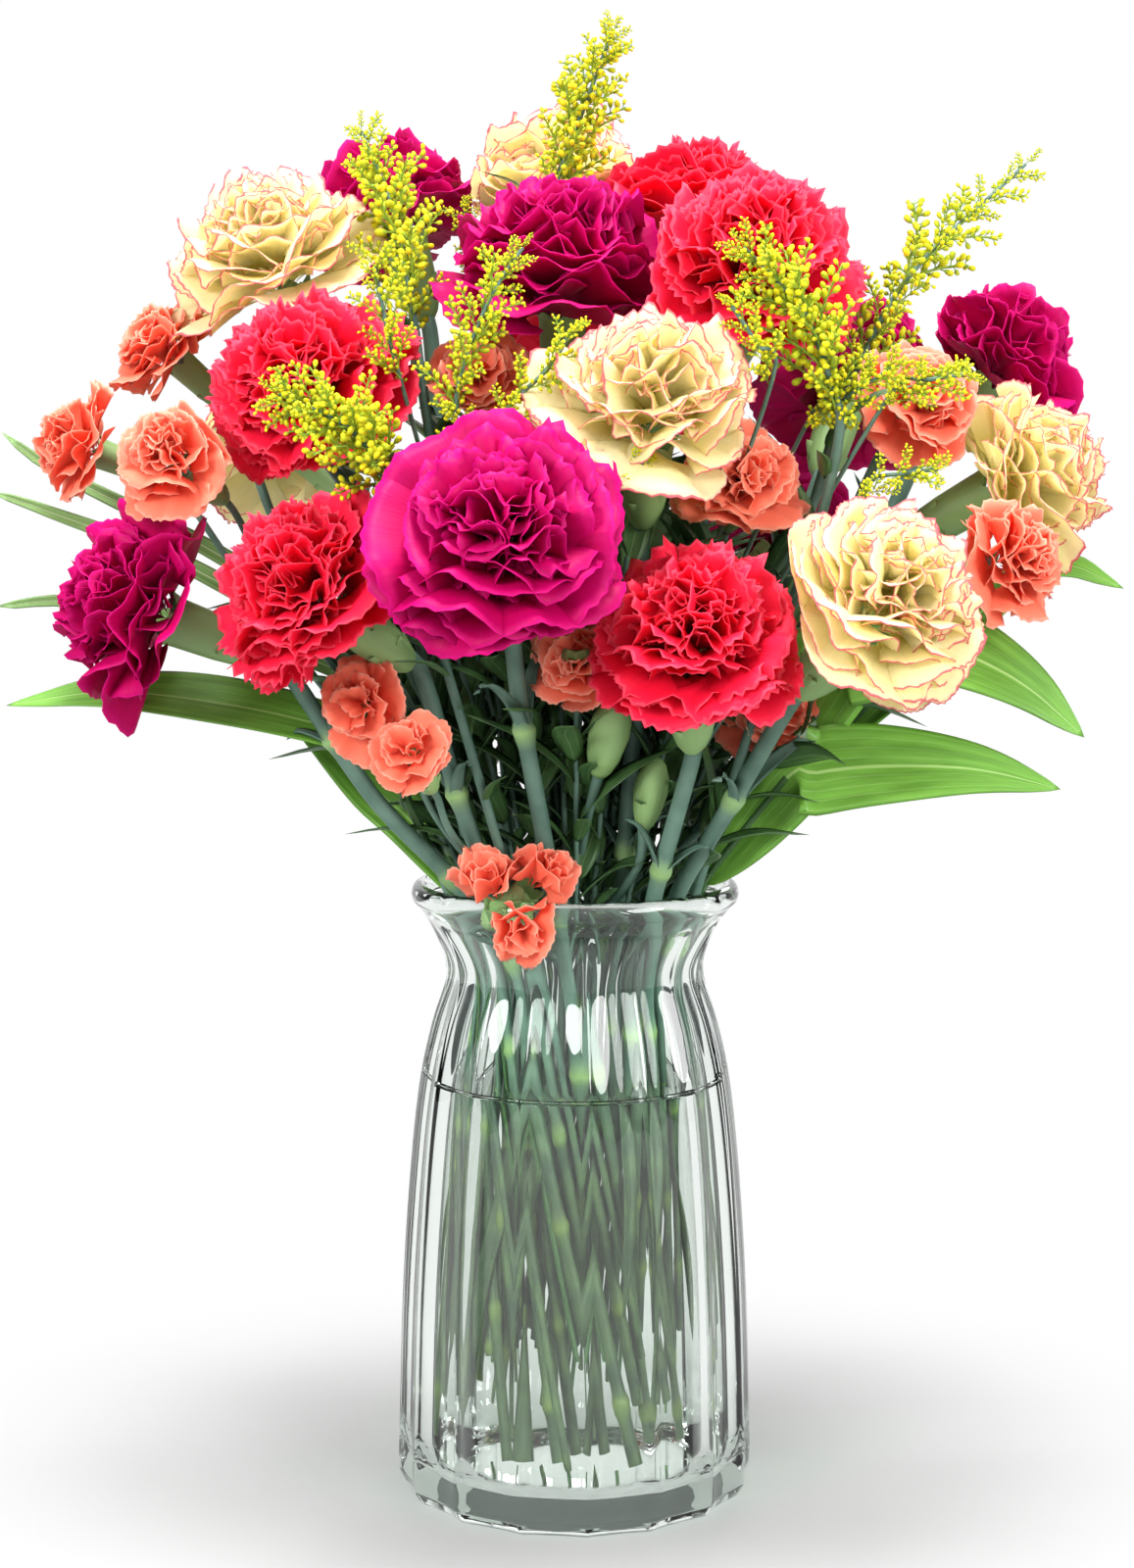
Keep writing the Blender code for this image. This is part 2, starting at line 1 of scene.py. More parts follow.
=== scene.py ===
# %% [markdown]
# # Carnations in a fluted glass vase
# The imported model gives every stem, bloom and leaf its place and size as a plain solid. This
# lesson dresses each one: real petals, ribbed calyxes, veined leaves, florets, glass and water.
# Nothing is moved. Each finished piece takes its place from the plain solid that it stands for.

# %% Load the frame
import math
import bmesh
import bpy
import numpy as np
from mathutils import Matrix, Vector


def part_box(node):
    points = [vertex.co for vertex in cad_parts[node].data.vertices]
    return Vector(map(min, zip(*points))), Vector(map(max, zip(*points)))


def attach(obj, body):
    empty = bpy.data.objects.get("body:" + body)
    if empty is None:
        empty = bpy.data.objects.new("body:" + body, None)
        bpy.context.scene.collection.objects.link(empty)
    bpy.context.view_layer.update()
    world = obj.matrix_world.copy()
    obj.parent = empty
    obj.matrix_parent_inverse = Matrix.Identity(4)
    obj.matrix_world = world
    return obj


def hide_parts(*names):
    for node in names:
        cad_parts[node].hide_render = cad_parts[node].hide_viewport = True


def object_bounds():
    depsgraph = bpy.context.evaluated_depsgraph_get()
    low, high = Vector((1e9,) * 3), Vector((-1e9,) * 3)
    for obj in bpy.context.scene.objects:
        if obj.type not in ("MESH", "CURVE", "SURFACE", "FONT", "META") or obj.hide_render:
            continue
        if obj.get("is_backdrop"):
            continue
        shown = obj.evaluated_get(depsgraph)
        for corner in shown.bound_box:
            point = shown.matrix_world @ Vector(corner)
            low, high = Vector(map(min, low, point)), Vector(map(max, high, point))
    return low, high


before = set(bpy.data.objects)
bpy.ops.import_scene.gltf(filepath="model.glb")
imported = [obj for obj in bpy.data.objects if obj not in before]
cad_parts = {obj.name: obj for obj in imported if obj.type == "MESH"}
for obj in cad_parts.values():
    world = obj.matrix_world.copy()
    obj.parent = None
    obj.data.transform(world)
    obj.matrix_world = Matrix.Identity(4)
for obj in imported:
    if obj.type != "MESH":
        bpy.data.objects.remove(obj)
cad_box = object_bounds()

names = sorted(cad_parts)
scene = bpy.context.scene


def in_mm(box):
    return [[round(value * 1000, 1) for value in corner] for corner in box]


print("frame:", len(names), "solids, box in mm", in_mm(cad_box))

# %% [markdown]
# ## The eye
# A bunch like this is looked at from a little above the rim, about a metre away. A narrow angle
# of view keeps the vase's sides nearly upright. The camera only tips down. It isn't shifted.

# %% Camera
EYE = (-0.0026, -0.9993, 0.3453)
EYE_TIP = math.radians(6.52)
VIEW_ANGLE = math.radians(28.0)
SENSOR = 36


def plain_object(name, data):
    made = bpy.data.objects.new(name, data)
    scene.collection.objects.link(made)
    return made


camera_data = bpy.data.cameras.new("eye")
camera_data.sensor_fit = "VERTICAL"
camera_data.sensor_height = SENSOR
camera_data.lens = SENSOR / 2 / math.tan(VIEW_ANGLE / 2)
camera = plain_object("eye", camera_data)
camera.location = EYE
camera.rotation_euler = (math.radians(90) - EYE_TIP, 0, 0)
scene.camera = camera
print("camera", round(-EYE[1], 3), "m away")

# %% [markdown]
# ## Three small writers
# Node trees are easier to read as text when each node is one call. `Nodes` adds them, `Tree`
# writes a Geometry Nodes tree and `Finish` writes a material. All three link a socket when they
# are handed one and set a value when they are handed a number.

# %% Writer for nodes
def connect(tree, value, socket):
    if isinstance(value, bpy.types.NodeSocket):
        tree.links.new(value, socket)
    else:
        socket.default_value = value


class Nodes:
    """Adds nodes to a tree: inputs by name, or by number as _0, _1 and so on."""

    def __init__(self, tree):
        self.tree = tree

    def add(self, kind, settings=None, **inputs):
        made = self.tree.nodes.new(kind)
        for name, value in (settings or {}).items():
            setattr(made, name, value)
        for name, value in inputs.items():
            key = int(name[1:]) if name[0] == "_" else name.replace("_", " ")
            connect(self.tree, value, made.inputs[key])
        return made

    def out(self, kind, settings=None, **inputs):
        """Adds a node and gives its first output."""
        return self.add(kind, settings, **inputs).outputs[0]

    def math(self, operation, a, b=0.0, c=0.0):
        return self.out("ShaderNodeMath", {"operation": operation}, _0=a, _1=b, _2=c)

    def times(self, a, b):
        return self.math("MULTIPLY", a, b)

    def minus(self, a, b):
        return self.math("SUBTRACT", a, b)

    def times_plus(self, a, b, c):
        return self.math("MULTIPLY_ADD", a, b, c)

    def vector(self, x=0.0, y=0.0, z=0.0):
        return self.out("ShaderNodeCombineXYZ", X=x, Y=y, Z=z)

    def vector_math(self, operation, a, b=(0, 0, 0), scale=None):
        made = self.add("ShaderNodeVectorMath", {"operation": operation}, _0=a, _1=b)
        if scale is not None:
            connect(self.tree, scale, made.inputs["Scale"])
        return made.outputs["Value" if operation == "LENGTH" else "Vector"]

    def split(self, vector):
        return self.add("ShaderNodeSeparateXYZ", Vector=vector).outputs

    def smooth_step(self, value, low, high):
        settings = {"interpolation_type": "SMOOTHSTEP"}
        return self.out("ShaderNodeMapRange", settings, Value=value, From_Min=low, From_Max=high)

    def ramp(self, value, stops):
        made = self.add("ShaderNodeValToRGB", Fac=value)
        elements = made.color_ramp.elements
        while len(elements) < len(stops):
            elements.new(1.0)
        for element, (position, colour) in zip(elements, stops):
            element.position = position
            element.color = (*colour, 1.0)
        return made.outputs[0]


print("nodes can be written")

# %% Writer for geometry
class Tree(Nodes):
    """A Geometry Nodes tree with named inputs."""

    def __init__(self, name):
        super().__init__(bpy.data.node_groups.new(name, "GeometryNodeTree"))
        self.inputs = self.tree.nodes.new("NodeGroupInput")
        self.output = self.tree.nodes.new("NodeGroupOutput")
        self.socket("Geometry", "Geometry")
        self.socket("Geometry", "Geometry", "OUTPUT")
        self.line = self.inputs.outputs["Geometry"]

    def socket(self, name, kind, way="INPUT"):
        return self.tree.interface.new_socket(name, in_out=way, socket_type="NodeSocket" + kind)

    def ask(self, **wanted):
        """Named inputs. A number gives the kind and the usual value, a word only the kind."""
        given = []
        for key, value in wanted.items():
            name = key.replace("_", " ")
            if isinstance(value, str):
                self.socket(name, value)
            else:
                self.socket(name, type(value).__name__.capitalize()).default_value = value
            given.append(self.inputs.outputs[name])
        return given

    def number(self, name):
        """The number that each point carries under a name."""
        return self.out("GeometryNodeInputNamedAttribute", {"data_type": "FLOAT"}, Name=name)

    def random(self, low, high, seed, salt, kind="FLOAT"):
        """A random number for each element. Salt keeps two draws of one seed apart."""
        made = self.add("FunctionNodeRandomValue", {"data_type": kind})
        low_socket, high_socket, result = {"FLOAT": (2, 3, 1), "INT": (4, 5, 2)}[kind]
        made.inputs[low_socket].default_value = low
        made.inputs[high_socket].default_value = high
        connect(self.tree, self.math("ADD", seed, float(salt)), made.inputs["Seed"])
        return made.outputs[result]

    def smooth_curve(self):
        """The line of points that the tree is handed, as a curve."""
        curve = self.out("GeometryNodeMeshToCurve", Mesh=self.line)
        return self.out("GeometryNodeCurveSplineType", {"spline_type": "CATMULL_ROM"}, Curve=curve)

    def instances(self, points, collection, rotation, scale, choice):
        """One of the collection's members at each point, picked by the number in choice."""
        members = self.add("GeometryNodeCollectionInfo", Collection=collection)
        members.inputs["Separate Children"].default_value = True
        members.inputs["Reset Children"].default_value = True
        return self.out(
            "GeometryNodeInstanceOnPoints", Points=points, Instance=members.outputs[0],
            Pick_Instance=True, Instance_Index=choice, Rotation=rotation, Scale=scale,
        )

    def finish(self, geometry, material):
        """Every tree ends as plain, smooth, finished mesh."""
        real = self.out("GeometryNodeRealizeInstances", Geometry=geometry)
        painted = self.out("GeometryNodeSetMaterial", Geometry=real, Material=material)
        smooth = self.out("GeometryNodeSetShadeSmooth", Geometry=painted)
        self.tree.links.new(smooth, self.output.inputs[0])
        return self.tree


def settled(obj):
    """The mesh that an object's modifiers make of it."""
    bpy.context.view_layer.update()
    graph = bpy.context.evaluated_depsgraph_get()
    return bpy.data.meshes.new_from_object(obj.evaluated_get(graph))


def grow(name, tree, source, **values):
    """Run a tree on a mesh and keep the result as a plain mesh object."""
    obj = plain_object(name, source or bpy.data.meshes.new(name))
    modifier = obj.modifiers.new("grow", "NODES")
    modifier.node_group = tree
    items = tree.interface.items_tree
    sockets = {item.name: item.identifier for item in items if item.in_out == "INPUT"}
    for key, value in values.items():
        modifier[sockets[key.replace("_", " ")]] = value
    mesh = settled(obj)
    mesh.name = name
    bpy.data.objects.remove(obj)
    return plain_object(name, mesh)


def library(name, members):
    """A collection outside the scene that trees take their instances from."""
    made = bpy.data.collections.new(name)
    for member in members:
        for owner in list(member.users_collection):
            owner.objects.unlink(member)
        made.objects.link(member)
    return made


print("trees can be written and run")

# %% Writer for materials
class Finish(Nodes):
    """A material written around one Principled shader."""

    def __init__(self, name, **values):
        self.material = bpy.data.materials.new(name)
        self.material.use_nodes = True
        super().__init__(self.material.node_tree)
        self.shader = self.tree.nodes["Principled BSDF"]
        for key, value in values.items():
            connect(self.tree, value, self.shader.inputs[key.replace("_", " ")])

    def place(self):
        return self.add("ShaderNodeTexCoord").outputs["Object"]

    def uv(self, name):
        return self.out("ShaderNodeUVMap", {"uv_map": name})

    def attribute(self, name):
        return self.add("ShaderNodeAttribute", {"attribute_name": name}).outputs["Fac"]

    def noise(self, vector, scale=1.0):
        return self.out("ShaderNodeTexNoise", Vector=vector, Scale=scale, Detail=3.0)

    def mix(self, share, a, b):
        made = self.add("ShaderNodeMix", {"data_type": "RGBA"}, _0=share)
        for key, value in ((6, a), (7, b)):
            connect(self.tree, (*value, 1.0) if isinstance(value, tuple) else value, made.inputs[key])
        return made.outputs[2]

    def colour(self, value):
        connect(self.tree, value, self.shader.inputs["Base Color"])

    def bump(self, height, strength, distance):
        made = self.out("ShaderNodeBump", Height=height, Strength=strength, Distance=distance)
        connect(self.tree, made, self.shader.inputs["Normal"])

    def mixed_with(self, share, other):
        """Lets another shader show through the first one."""
        both = self.out("ShaderNodeMixShader", _0=share, _1=self.shader.outputs[0], _2=other)
        self.tree.links.new(both, self.tree.nodes["Material Output"].inputs[0])
        return self.material


print("finishes can be written")

# %% [markdown]
# ## Floor and light
# The floor is a wide sheet with a painted shadow: grey round the foot of the vase, it fades
# to a plain white glow away from the bunch. One broad lamp overhead throws a soft real shadow
# there too, two open up the front and a faint one stands behind. The surroundings are a bright
# room with darker sides: clear glass has no colour of its own, so its outline comes only from
# dark things that it bends into view. Camera rays see plain white instead.

# %% Floor
# painted shadow: the floor's grey round the vase's foot, and the distances from the middle over which it
# fades to white
PAINTED_SHADOW_GREY = 0.41
PAINTED_SHADOW_STARTS = 0.04
PAINTED_SHADOW_ENDS = 0.27

floor_mesh = bpy.data.meshes.new("floor")
sheet = bmesh.new()
bmesh.ops.create_circle(sheet, cap_ends=True, segments=96, radius=12.0)
sheet.to_mesh(floor_mesh)
sheet.free()
floor = plain_object("floor", floor_mesh)
paper = Finish("floor_paper", Base_Color=(*[PAINTED_SHADOW_GREY] * 3, 1), Roughness=0.9, Specular_IOR_Level=0.1)
from_middle = paper.vector_math("LENGTH", paper.place())
# the painted shadow fades from grey to a plain white glow away from the middle
fade = paper.smooth_step(from_middle, PAINTED_SHADOW_STARTS, PAINTED_SHADOW_ENDS)
floor_mesh.materials.append(paper.mixed_with(fade, paper.out("ShaderNodeEmission")))
floor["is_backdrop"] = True

# %% Lamps and surroundings
LIT_HEIGHT = 0.30


def lamp(name, place, size, watts):
    """A round soft lamp, turned to face the middle of the bunch."""
    data = bpy.data.lights.new(name, "AREA")
    data.shape = "DISK"
    data.size = size
    data.energy = watts
    made = plain_object(name, data)
    made.location = place
    toward = Vector((0, 0, LIT_HEIGHT)) - Vector(place)
    made.rotation_euler = toward.to_track_quat("-Z", "Y").to_euler()


lamp("overhead", (0.0, -0.15, 1.50), 0.50, 29)
lamp("front_left", (-1.1, -1.2, 0.95), 0.8, 30)
lamp("front_right", (1.2, -1.0, 0.70), 0.8, 23)
lamp("back", (0.3, 1.3, 0.95), 0.8, 6)

room = bpy.data.worlds.new("room")
scene.world = room
room.use_nodes = True
room.node_tree.nodes.clear()
air = Nodes(room.node_tree)
direction = air.add("ShaderNodeTexCoord").outputs["Generated"]
sideways = air.math("ABSOLUTE", air.split(direction)["X"])
shade = air.ramp(sideways, [(0.45, (1, 1, 1)), (0.80, (0.10, 0.11, 0.11))])
lit = air.out("ShaderNodeBackground", Color=shade, Strength=0.95)
seen = air.out("ShaderNodeBackground", Color=(1, 1, 1, 1))
camera_ray = air.add("ShaderNodeLightPath").outputs["Is Camera Ray"]
surroundings = air.out("ShaderNodeMixShader", _0=camera_ray, _1=lit, _2=seen)
air.add("ShaderNodeOutputWorld", Surface=surroundings)
scene.view_settings.view_transform = "Standard"
print("floor, 4 lamps and the room")

# %% [markdown]
# ## Reading the plain solids
# A stem or a leaf was lofted from rings of six corners. Walking over its surface from the
# lowest ring gives the rings back in order. Their middles are the stem's way, their sizes its
# thickness, and the last ones the calyx. So the finished piece lies on the solid by itself.

# %% Read rings and poles from the solids
RING_REACH = 0.0055  # corners this near to the lowest one are its ring


def welded(node):
    """A solid's surface with its corners joined. The frame's own mesh isn't touched."""
    bm = bmesh.new()
    bm.from_mesh(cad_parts[node].data)
    bmesh.ops.remove_doubles(bm, verts=bm.verts, dist=1e-5)
    bm.verts.ensure_lookup_table()
    return bm


def rings_of(node):
    """The solid's rings of corners, from its lowest end."""
    bm = welded(node)
    lowest = min(bm.verts, key=lambda vert: vert.co.z)
    ring = [vert for vert in bm.verts if (vert.co - lowest.co).length < RING_REACH]
    seen = set(ring)
    rings = []
    while ring:
        rings.append(np.array([vert.co for vert in ring]))
        after = {edge.other_vert(vert) for vert in ring for edge in vert.link_edges} - seen
        ring = sorted(after, key=lambda vert: vert.index)
        seen |= after
    bm.free()
    return rings


def middle_and_radius(ring):
    centre = ring.mean(axis=0)
    return Vector(centre), float(np.linalg.norm(ring - centre, axis=1).mean())


def turn_to(direction, spin=0.0):
    """The turn that carries +Z to a direction."""
    facing = Vector(direction).normalized().to_track_quat("Z", "Y").to_matrix()
    return (facing @ Matrix.Rotation(spin, 3, "Z")).to_4x4()


# %% Where each bloom sits
AXIS_POINT = Vector((0, 0, 0.2))  # blooms look away from here, so their lower pole is nearest
CALYX_RINGS = 4  # a stem's last rings are its calyx
MOUTH_RADIUS = 0.0073
SPRAY_MOUTH_RADIUS = 0.0043


class Head:
    """Where a bloom sits, the way it faces and its size, read from its plain solid."""

    def __init__(self, node, mouth=None, facing=None):
        self.node = node
        bm = welded(node)
        most = max(len(vert.link_edges) for vert in bm.verts)
        poles = [vert for vert in bm.verts if len(vert.link_edges) == most]
        below = min(poles, key=lambda vert: (vert.co - AXIS_POINT).length)
        ring = [edge.other_vert(below).co for edge in below.link_edges]
        self.mouth = mouth or below.co.copy()
        self.facing = (facing or sum(ring, Vector()) / len(ring) - below.co).normalized()
        self.place = Matrix.Translation(self.mouth) @ turn_to(self.facing)
        inverse = self.place.inverted()
        corners = np.array([inverse @ vert.co for vert in bm.verts])
        bm.free()
        self.height = float(corners[:, 2].max())
        self.radius = float(np.linalg.norm(corners[:, :2], axis=1).max())
        self.centre = self.mouth + self.facing * self.height * 0.5
        self.mouth_radius = SPRAY_MOUTH_RADIUS if node.startswith("coral") else MOUTH_RADIUS


stems = {}
heads = {}
for name in names:
    if "_carnation_" in name and name.endswith("_stem"):
        stems[name] = [middle_and_radius(ring) for ring in rings_of(name)]
        calyx_foot, mouth = stems[name][-1 - CALYX_RINGS][0], stems[name][-1][0]
        bloom = name.replace("_stem", "_bloom")
        heads[bloom] = Head(bloom, mouth, mouth - calyx_foot)
    if name.startswith("coral_bloom"):
        heads[name] = Head(name)
for head in heads.values():
    print(head.node, "width", round(head.radius * 2000), "height", round(head.height * 1000))

# %% [markdown]
# ## Finishes
# Petals are matt, thin and let light through. Their colour runs along the petal: deeper at the
# base, the body colour, then the margin. The margin's line is broken up across the petal so it
# looks painted by hand. Greens have a grey bloom. Everything is written in its own
# coordinates, so it stays with the piece.

# %% Petal finishes
BLUSH_REACH = 0.22  # how far below the margin the blush starts, of the petal's length
MARGIN_BLUR = 0.022


def petal_finish(name, deep, body, margin, margin_from, blush, fleck, glow):
    """Colour along a petal: deep at the base, the body, a blush, then a streaked margin."""
    made = Finish(name, Roughness=0.55, Specular_IOR_Level=0.15)
    across, along, _ = made.split(made.uv("petal"))
    streak = made.noise(made.vector(made.times(across, 26.0), made.times(along, 1.6)))
    patch = made.noise(made.place(), 120.0)
    wander = made.times_plus(made.minus(streak, 0.5), fleck, along)
    wander = made.times_plus(made.minus(patch, 0.5), 0.5 * fleck, wander)
    tone = made.ramp(wander, [(0.10, deep), (0.60, body), (margin_from - 0.05, body)])
    blush_share = made.times(made.smooth_step(wander, margin_from - BLUSH_REACH, 1.0), 0.6)
    margin_share = made.smooth_step(wander, margin_from, margin_from + MARGIN_BLUR)
    edged = made.mix(margin_share, made.mix(blush_share, tone, blush), margin)
    veins = made.noise(made.vector(made.times(across, 60.0), made.times(along, 2.5)))
    lit = made.vector_math("SCALE", edged, scale=made.times_plus(veins, 0.20, 0.90))
    made.colour(lit)
    made.bump(veins, 0.35, 0.0006)
    return made.mixed_with(glow, made.out("ShaderNodeBsdfTranslucent", Color=lit))


# deep, body, margin, where the margin starts, blush, fleck, light let through
petal_colours = {
    "cream": (
        (1.0, 0.92, 0.40), (1.0, 0.96, 0.68), (0.86, 0.24, 0.30), 0.972,
        (1.0, 0.88, 0.61), 0.05, 0.60,
    ),
    "red": (
        (0.64, 0.001, 0.016), (0.90, 0.010, 0.052), (0.95, 0.06, 0.12), 0.95,
        (0.92, 0.022, 0.070), 0.08, 0.25,
    ),
    "magenta": (
        (0.32, 0.0, 0.06), (0.56, 0.0, 0.105), (0.66, 0.002, 0.19), 0.97,
        (0.54, 0.001, 0.15), 0.06, 0.25,
    ),
    "coral": (
        (0.96, 0.15, 0.08), (1.0, 0.26, 0.155), (1.0, 0.46, 0.33), 0.95,
        (1.0, 0.34, 0.23), 0.08, 0.40,
    ),
}
finishes = {}
for colour, look in petal_colours.items():
    finishes[colour] = petal_finish(f"{colour}_petals", *look)
print("petals:", ", ".join(finishes))

# %% Greens
def carnation_green():
    """Grey-green with a waxy bloom, paler at the joints. Inside the vase it is yellower, the wet stem's
    own tone, and painted darker as shade.
    """
    made = Finish("carnation_green", Roughness=0.5, Specular_IOR_Level=0.35)
    place = made.place()
    mottle = made.noise(place, 90.0)
    dry = made.ramp(mottle, [(0.25, (0.050, 0.108, 0.080)), (0.75, (0.115, 0.205, 0.155))])
    wet_and_painted_shade = made.ramp(mottle, [(0.35, (0.012, 0.030, 0.008)), (0.65, (0.055, 0.090, 0.018))])
    # painted shade: up to the vase's neck the stem and its joints turn darker, for the dim light inside
    # the glass; the yellower hue there is the wet stem's own
    sunk = made.minus(1.0, made.smooth_step(made.split(place)["Z"], 0.10, 0.17))
    tone = made.mix(made.times(sunk, 0.85), dry, wet_and_painted_shade)
    joint = made.mix(sunk, (0.27, 0.44, 0.14), (0.14, 0.20, 0.04))
    made.colour(made.mix(made.times(made.attribute("pale"), 0.8), tone, joint))
    made.bump(made.noise(made.vector_math("MULTIPLY", place, (900, 900, 60))), 0.10, 0.0003)
    return made.material


def leaf_finish(name, dark, light, vein, veins_across, roughness=0.42):
    """Long pale veins run with the blade and meet at the tip. The midrib is the strongest."""
    made = Finish(name, Roughness=roughness, Specular_IOR_Level=0.4)
    across = made.split(made.uv("blade"))["X"]
    mottle = made.noise(made.vector_math("MULTIPLY", made.uv("blade"), (9, 5, 1)))
    tone = made.ramp(mottle, [(0.3, dark), (0.7, light)])
    from_midrib = made.math("ABSOLUTE", made.minus(across, 0.5))
    wave = made.math("COSINE", made.times(from_midrib, 2 * math.pi * veins_across))
    lines = made.smooth_step(wave, 0.80, 1.0)
    midrib = made.minus(1.0, made.smooth_step(from_midrib, 0.010, 0.028))
    share = made.math("MAXIMUM", made.times(lines, 0.16), made.times(midrib, 0.8))
    made.colour(made.mix(share, tone, vein))
    made.bump(made.math("MAXIMUM", lines, midrib), 0.30, 0.0004)
    return made.material


def goldenrod_finish():
    """Each flower head has its own share of green and is greener at its foot."""
    made = Finish("goldenrod_floret", Roughness=0.6, Specular_IOR_Level=0.2)
    ripe = made.mix(made.attribute("shade"), (0.38, 0.46, 0.015), (0.80, 0.68, 0.012))
    up_the_head = made.smooth_step(made.split(made.uv("floret"))["Y"], 0.40, 0.72)
    made.colour(made.mix(up_the_head, (0.22, 0.33, 0.03), ripe))
    return made.material


finishes["stem"] = carnation_green()
# dark, light, vein, veins across the blade
leaf_colours = {
    "leaf": ("broad_leaf", (0.090, 0.240, 0.022), (0.165, 0.400, 0.050), (0.36, 0.58, 0.18), 9),
    "lance": ("lance_leaf", (0.030, 0.085, 0.025), (0.065, 0.150, 0.045), (0.14, 0.24, 0.09), 3),
    "grass": ("grass_blade", (0.13, 0.26, 0.07), (0.20, 0.34, 0.11), (0.66, 0.72, 0.50), 3, 0.5),
}
for leaf, look in leaf_colours.items():
    finishes[leaf] = leaf_finish(*look)
finishes["goldenrod"] = goldenrod_finish()
print("greens and golds ready")

# %% [markdown]
# ## The glass
# The vase was pressed in a mould. Its wall is hollowed outside into sixteen upright flutes that
# meet in ridges and fade out under a thick rounded lip. The bore inside is smooth. That is a
# rule, so a node tree shapes it: each row of a grid takes its radius and height from one point
# of the profile, each column its angle, and the flutes are sunk from the outside only.

# %% The outline of the vase
BORE_INSET = 0.0056
PROFILE_STEPS = 5


def smooth_line(points, steps):
    """A rounded line through points of any number of values, steps for each stretch."""
    points = [np.array(point, float) for point in points]
    padded = [2 * points[0] - points[1], *points, 2 * points[-1] - points[-2]]
    made = []
    for before, start, end, after in zip(padded, padded[1:], padded[2:], padded[3:]):
        for step in range(steps):
            t = step / steps
            bend = 2 * before - 5 * start + 4 * end - after
            twist = 3 * start - before - 3 * end + after
            made.append(0.5 * (2 * start + (end - before) * t + bend * t**2 + twist * t**3))
    made.append(points[-1])
    return made


# radius, height and how deep the flutes are cut there, from 0 to 1
outside = [
    (0.0, 0.0, 0.0), (0.030, 0.0, 0.2), (0.0482, 0.0, 0.45), (0.0536, 0.0012, 0.7),
    (0.0563, 0.0040, 0.9), (0.0575, 0.0095, 1.0), (0.0571, 0.030, 1.0), (0.0558, 0.070, 1.0),
    (0.0532, 0.108, 1.0), (0.0502, 0.135, 1.0), (0.0462, 0.154, 1.0), (0.0418, 0.168, 1.0),
    (0.0420, 0.176, 1.0), (0.0462, 0.186, 0.55), (0.0503, 0.1925, 0.0), (0.0518, 0.1940, 0.0),
    (0.0525, 0.1965, 0.0), (0.0517, 0.1990, 0.0), (0.0497, 0.2000, 0.0),
]
waist = outside[6:14]  # from above the foot to just over the neck
bore = [(radius - BORE_INSET, height, 0.0) for radius, height, _ in reversed(waist)]
inside = [
    (0.0478, 0.1990, 0.0), (0.0464, 0.1960, 0.0), (0.0440, 0.1905, 0.0), *bore,
    (0.0512, 0.020, 0.0), (0.0478, 0.0135, 0.0), (0.0400, 0.0104, 0.0), (0.020, 0.010, 0.0),
    (0.0, 0.010, 0.0),
]
profile = smooth_line(outside + inside, PROFILE_STEPS)
print("outline:", len(profile), "points")

# %% The tree that turns and flutes
FLUTES = 16
FLUTE_SUNK = 0.0026
RIDGE_TURN = math.radians(4)


def outline_mesh(name, points, **values):
    """A line of points as a mesh, with a number at each point under a name."""
    mesh = bpy.data.meshes.new(name)
    edges = [(i, i + 1) for i in range(len(points) - 1)]
    mesh.from_pydata([tuple(point) for point in points], edges, [])
    for key, numbers in values.items():
        mark(mesh, key, list(numbers))
    return mesh


def mark(mesh, name, numbers):
    """Writes a number on each point of a mesh."""
    mesh.attributes.new(name, "FLOAT", "POINT").data.foreach_set("value", numbers)


def vessel_tree():
    tree = Tree("turned_and_fluted")
    around, flutes = tree.ask(Around=192, Flutes=FLUTES)
    depth, turn, material = tree.ask(Depth=FLUTE_SUNK, Turn=0.0, Material="Material")
    size = tree.add("GeometryNodeAttributeDomainSize", {"component": "MESH"}, Geometry=tree.line)
    rows = size.outputs["Point Count"]
    columns = tree.math("ADD", around, 1.0)
    sheet = tree.out("GeometryNodeMeshGrid", Vertices_X=columns, Vertices_Y=rows)
    index = tree.out("GeometryNodeInputIndex")
    row = tree.math("MODULO", index, rows)
    column = tree.math("FLOOR", tree.math("DIVIDE", index, rows))
    share = tree.math("DIVIDE", column, around)

    def along_line(value, kind):
        settings = {"data_type": kind}
        return tree.out("GeometryNodeSampleIndex", settings, Geometry=tree.line, Value=value, Index=row)

    at = tree.split(along_line(tree.out("GeometryNodeInputPosition"), "FLOAT_VECTOR"))
    cut = along_line(tree.number("cut"), "FLOAT")
    across = tree.math("FRACT", tree.times(share, flutes))
    from_ridge = tree.math("POWER", tree.times_plus(across, 2.0, -1.0), 2.0)
    sunk = tree.times(tree.minus(1.0, from_ridge), depth)
    radius = tree.minus(at["X"], tree.times(sunk, cut))
    angle = tree.times_plus(share, 2 * math.pi, turn)
    x = tree.times(radius, tree.math("COSINE", angle))
    y = tree.times(radius, tree.math("SINE", angle))
    place = tree.vector(x, y, at["Z"])
    shaped = tree.out("GeometryNodeSetPosition", Geometry=sheet, Position=place)
    closed = tree.out("GeometryNodeMergeByDistance", Geometry=shaped, Distance=0.00001)
    return tree.finish(closed, material)


def outward(obj):
    """Join what lies on the same spot and turn every face of a closed piece outward."""
    bm = bmesh.new()
    bm.from_mesh(obj.data)
    bmesh.ops.remove_doubles(bm, verts=bm.verts, dist=1e-7)
    bmesh.ops.recalc_face_normals(bm, faces=bm.faces)
    if bm.calc_volume(signed=True) < 0:
        bmesh.ops.reverse_faces(bm, faces=bm.faces)
    bm.to_mesh(obj.data)
    bm.free()
    return obj


def clear_finish(name, index, tint):
    """Clear stuff that bends light. Lamps shine through it, as they would through thin glass."""
    colour = (*tint, 1.0)
    made = Finish(name, Roughness=0.0, IOR=index, Transmission_Weight=1.0, Base_Color=colour)
    shadow_ray = made.add("ShaderNodeLightPath").outputs["Is Shadow Ray"]
    return made.mixed_with(shadow_ray, made.out("ShaderNodeBsdfTransparent", Color=colour))


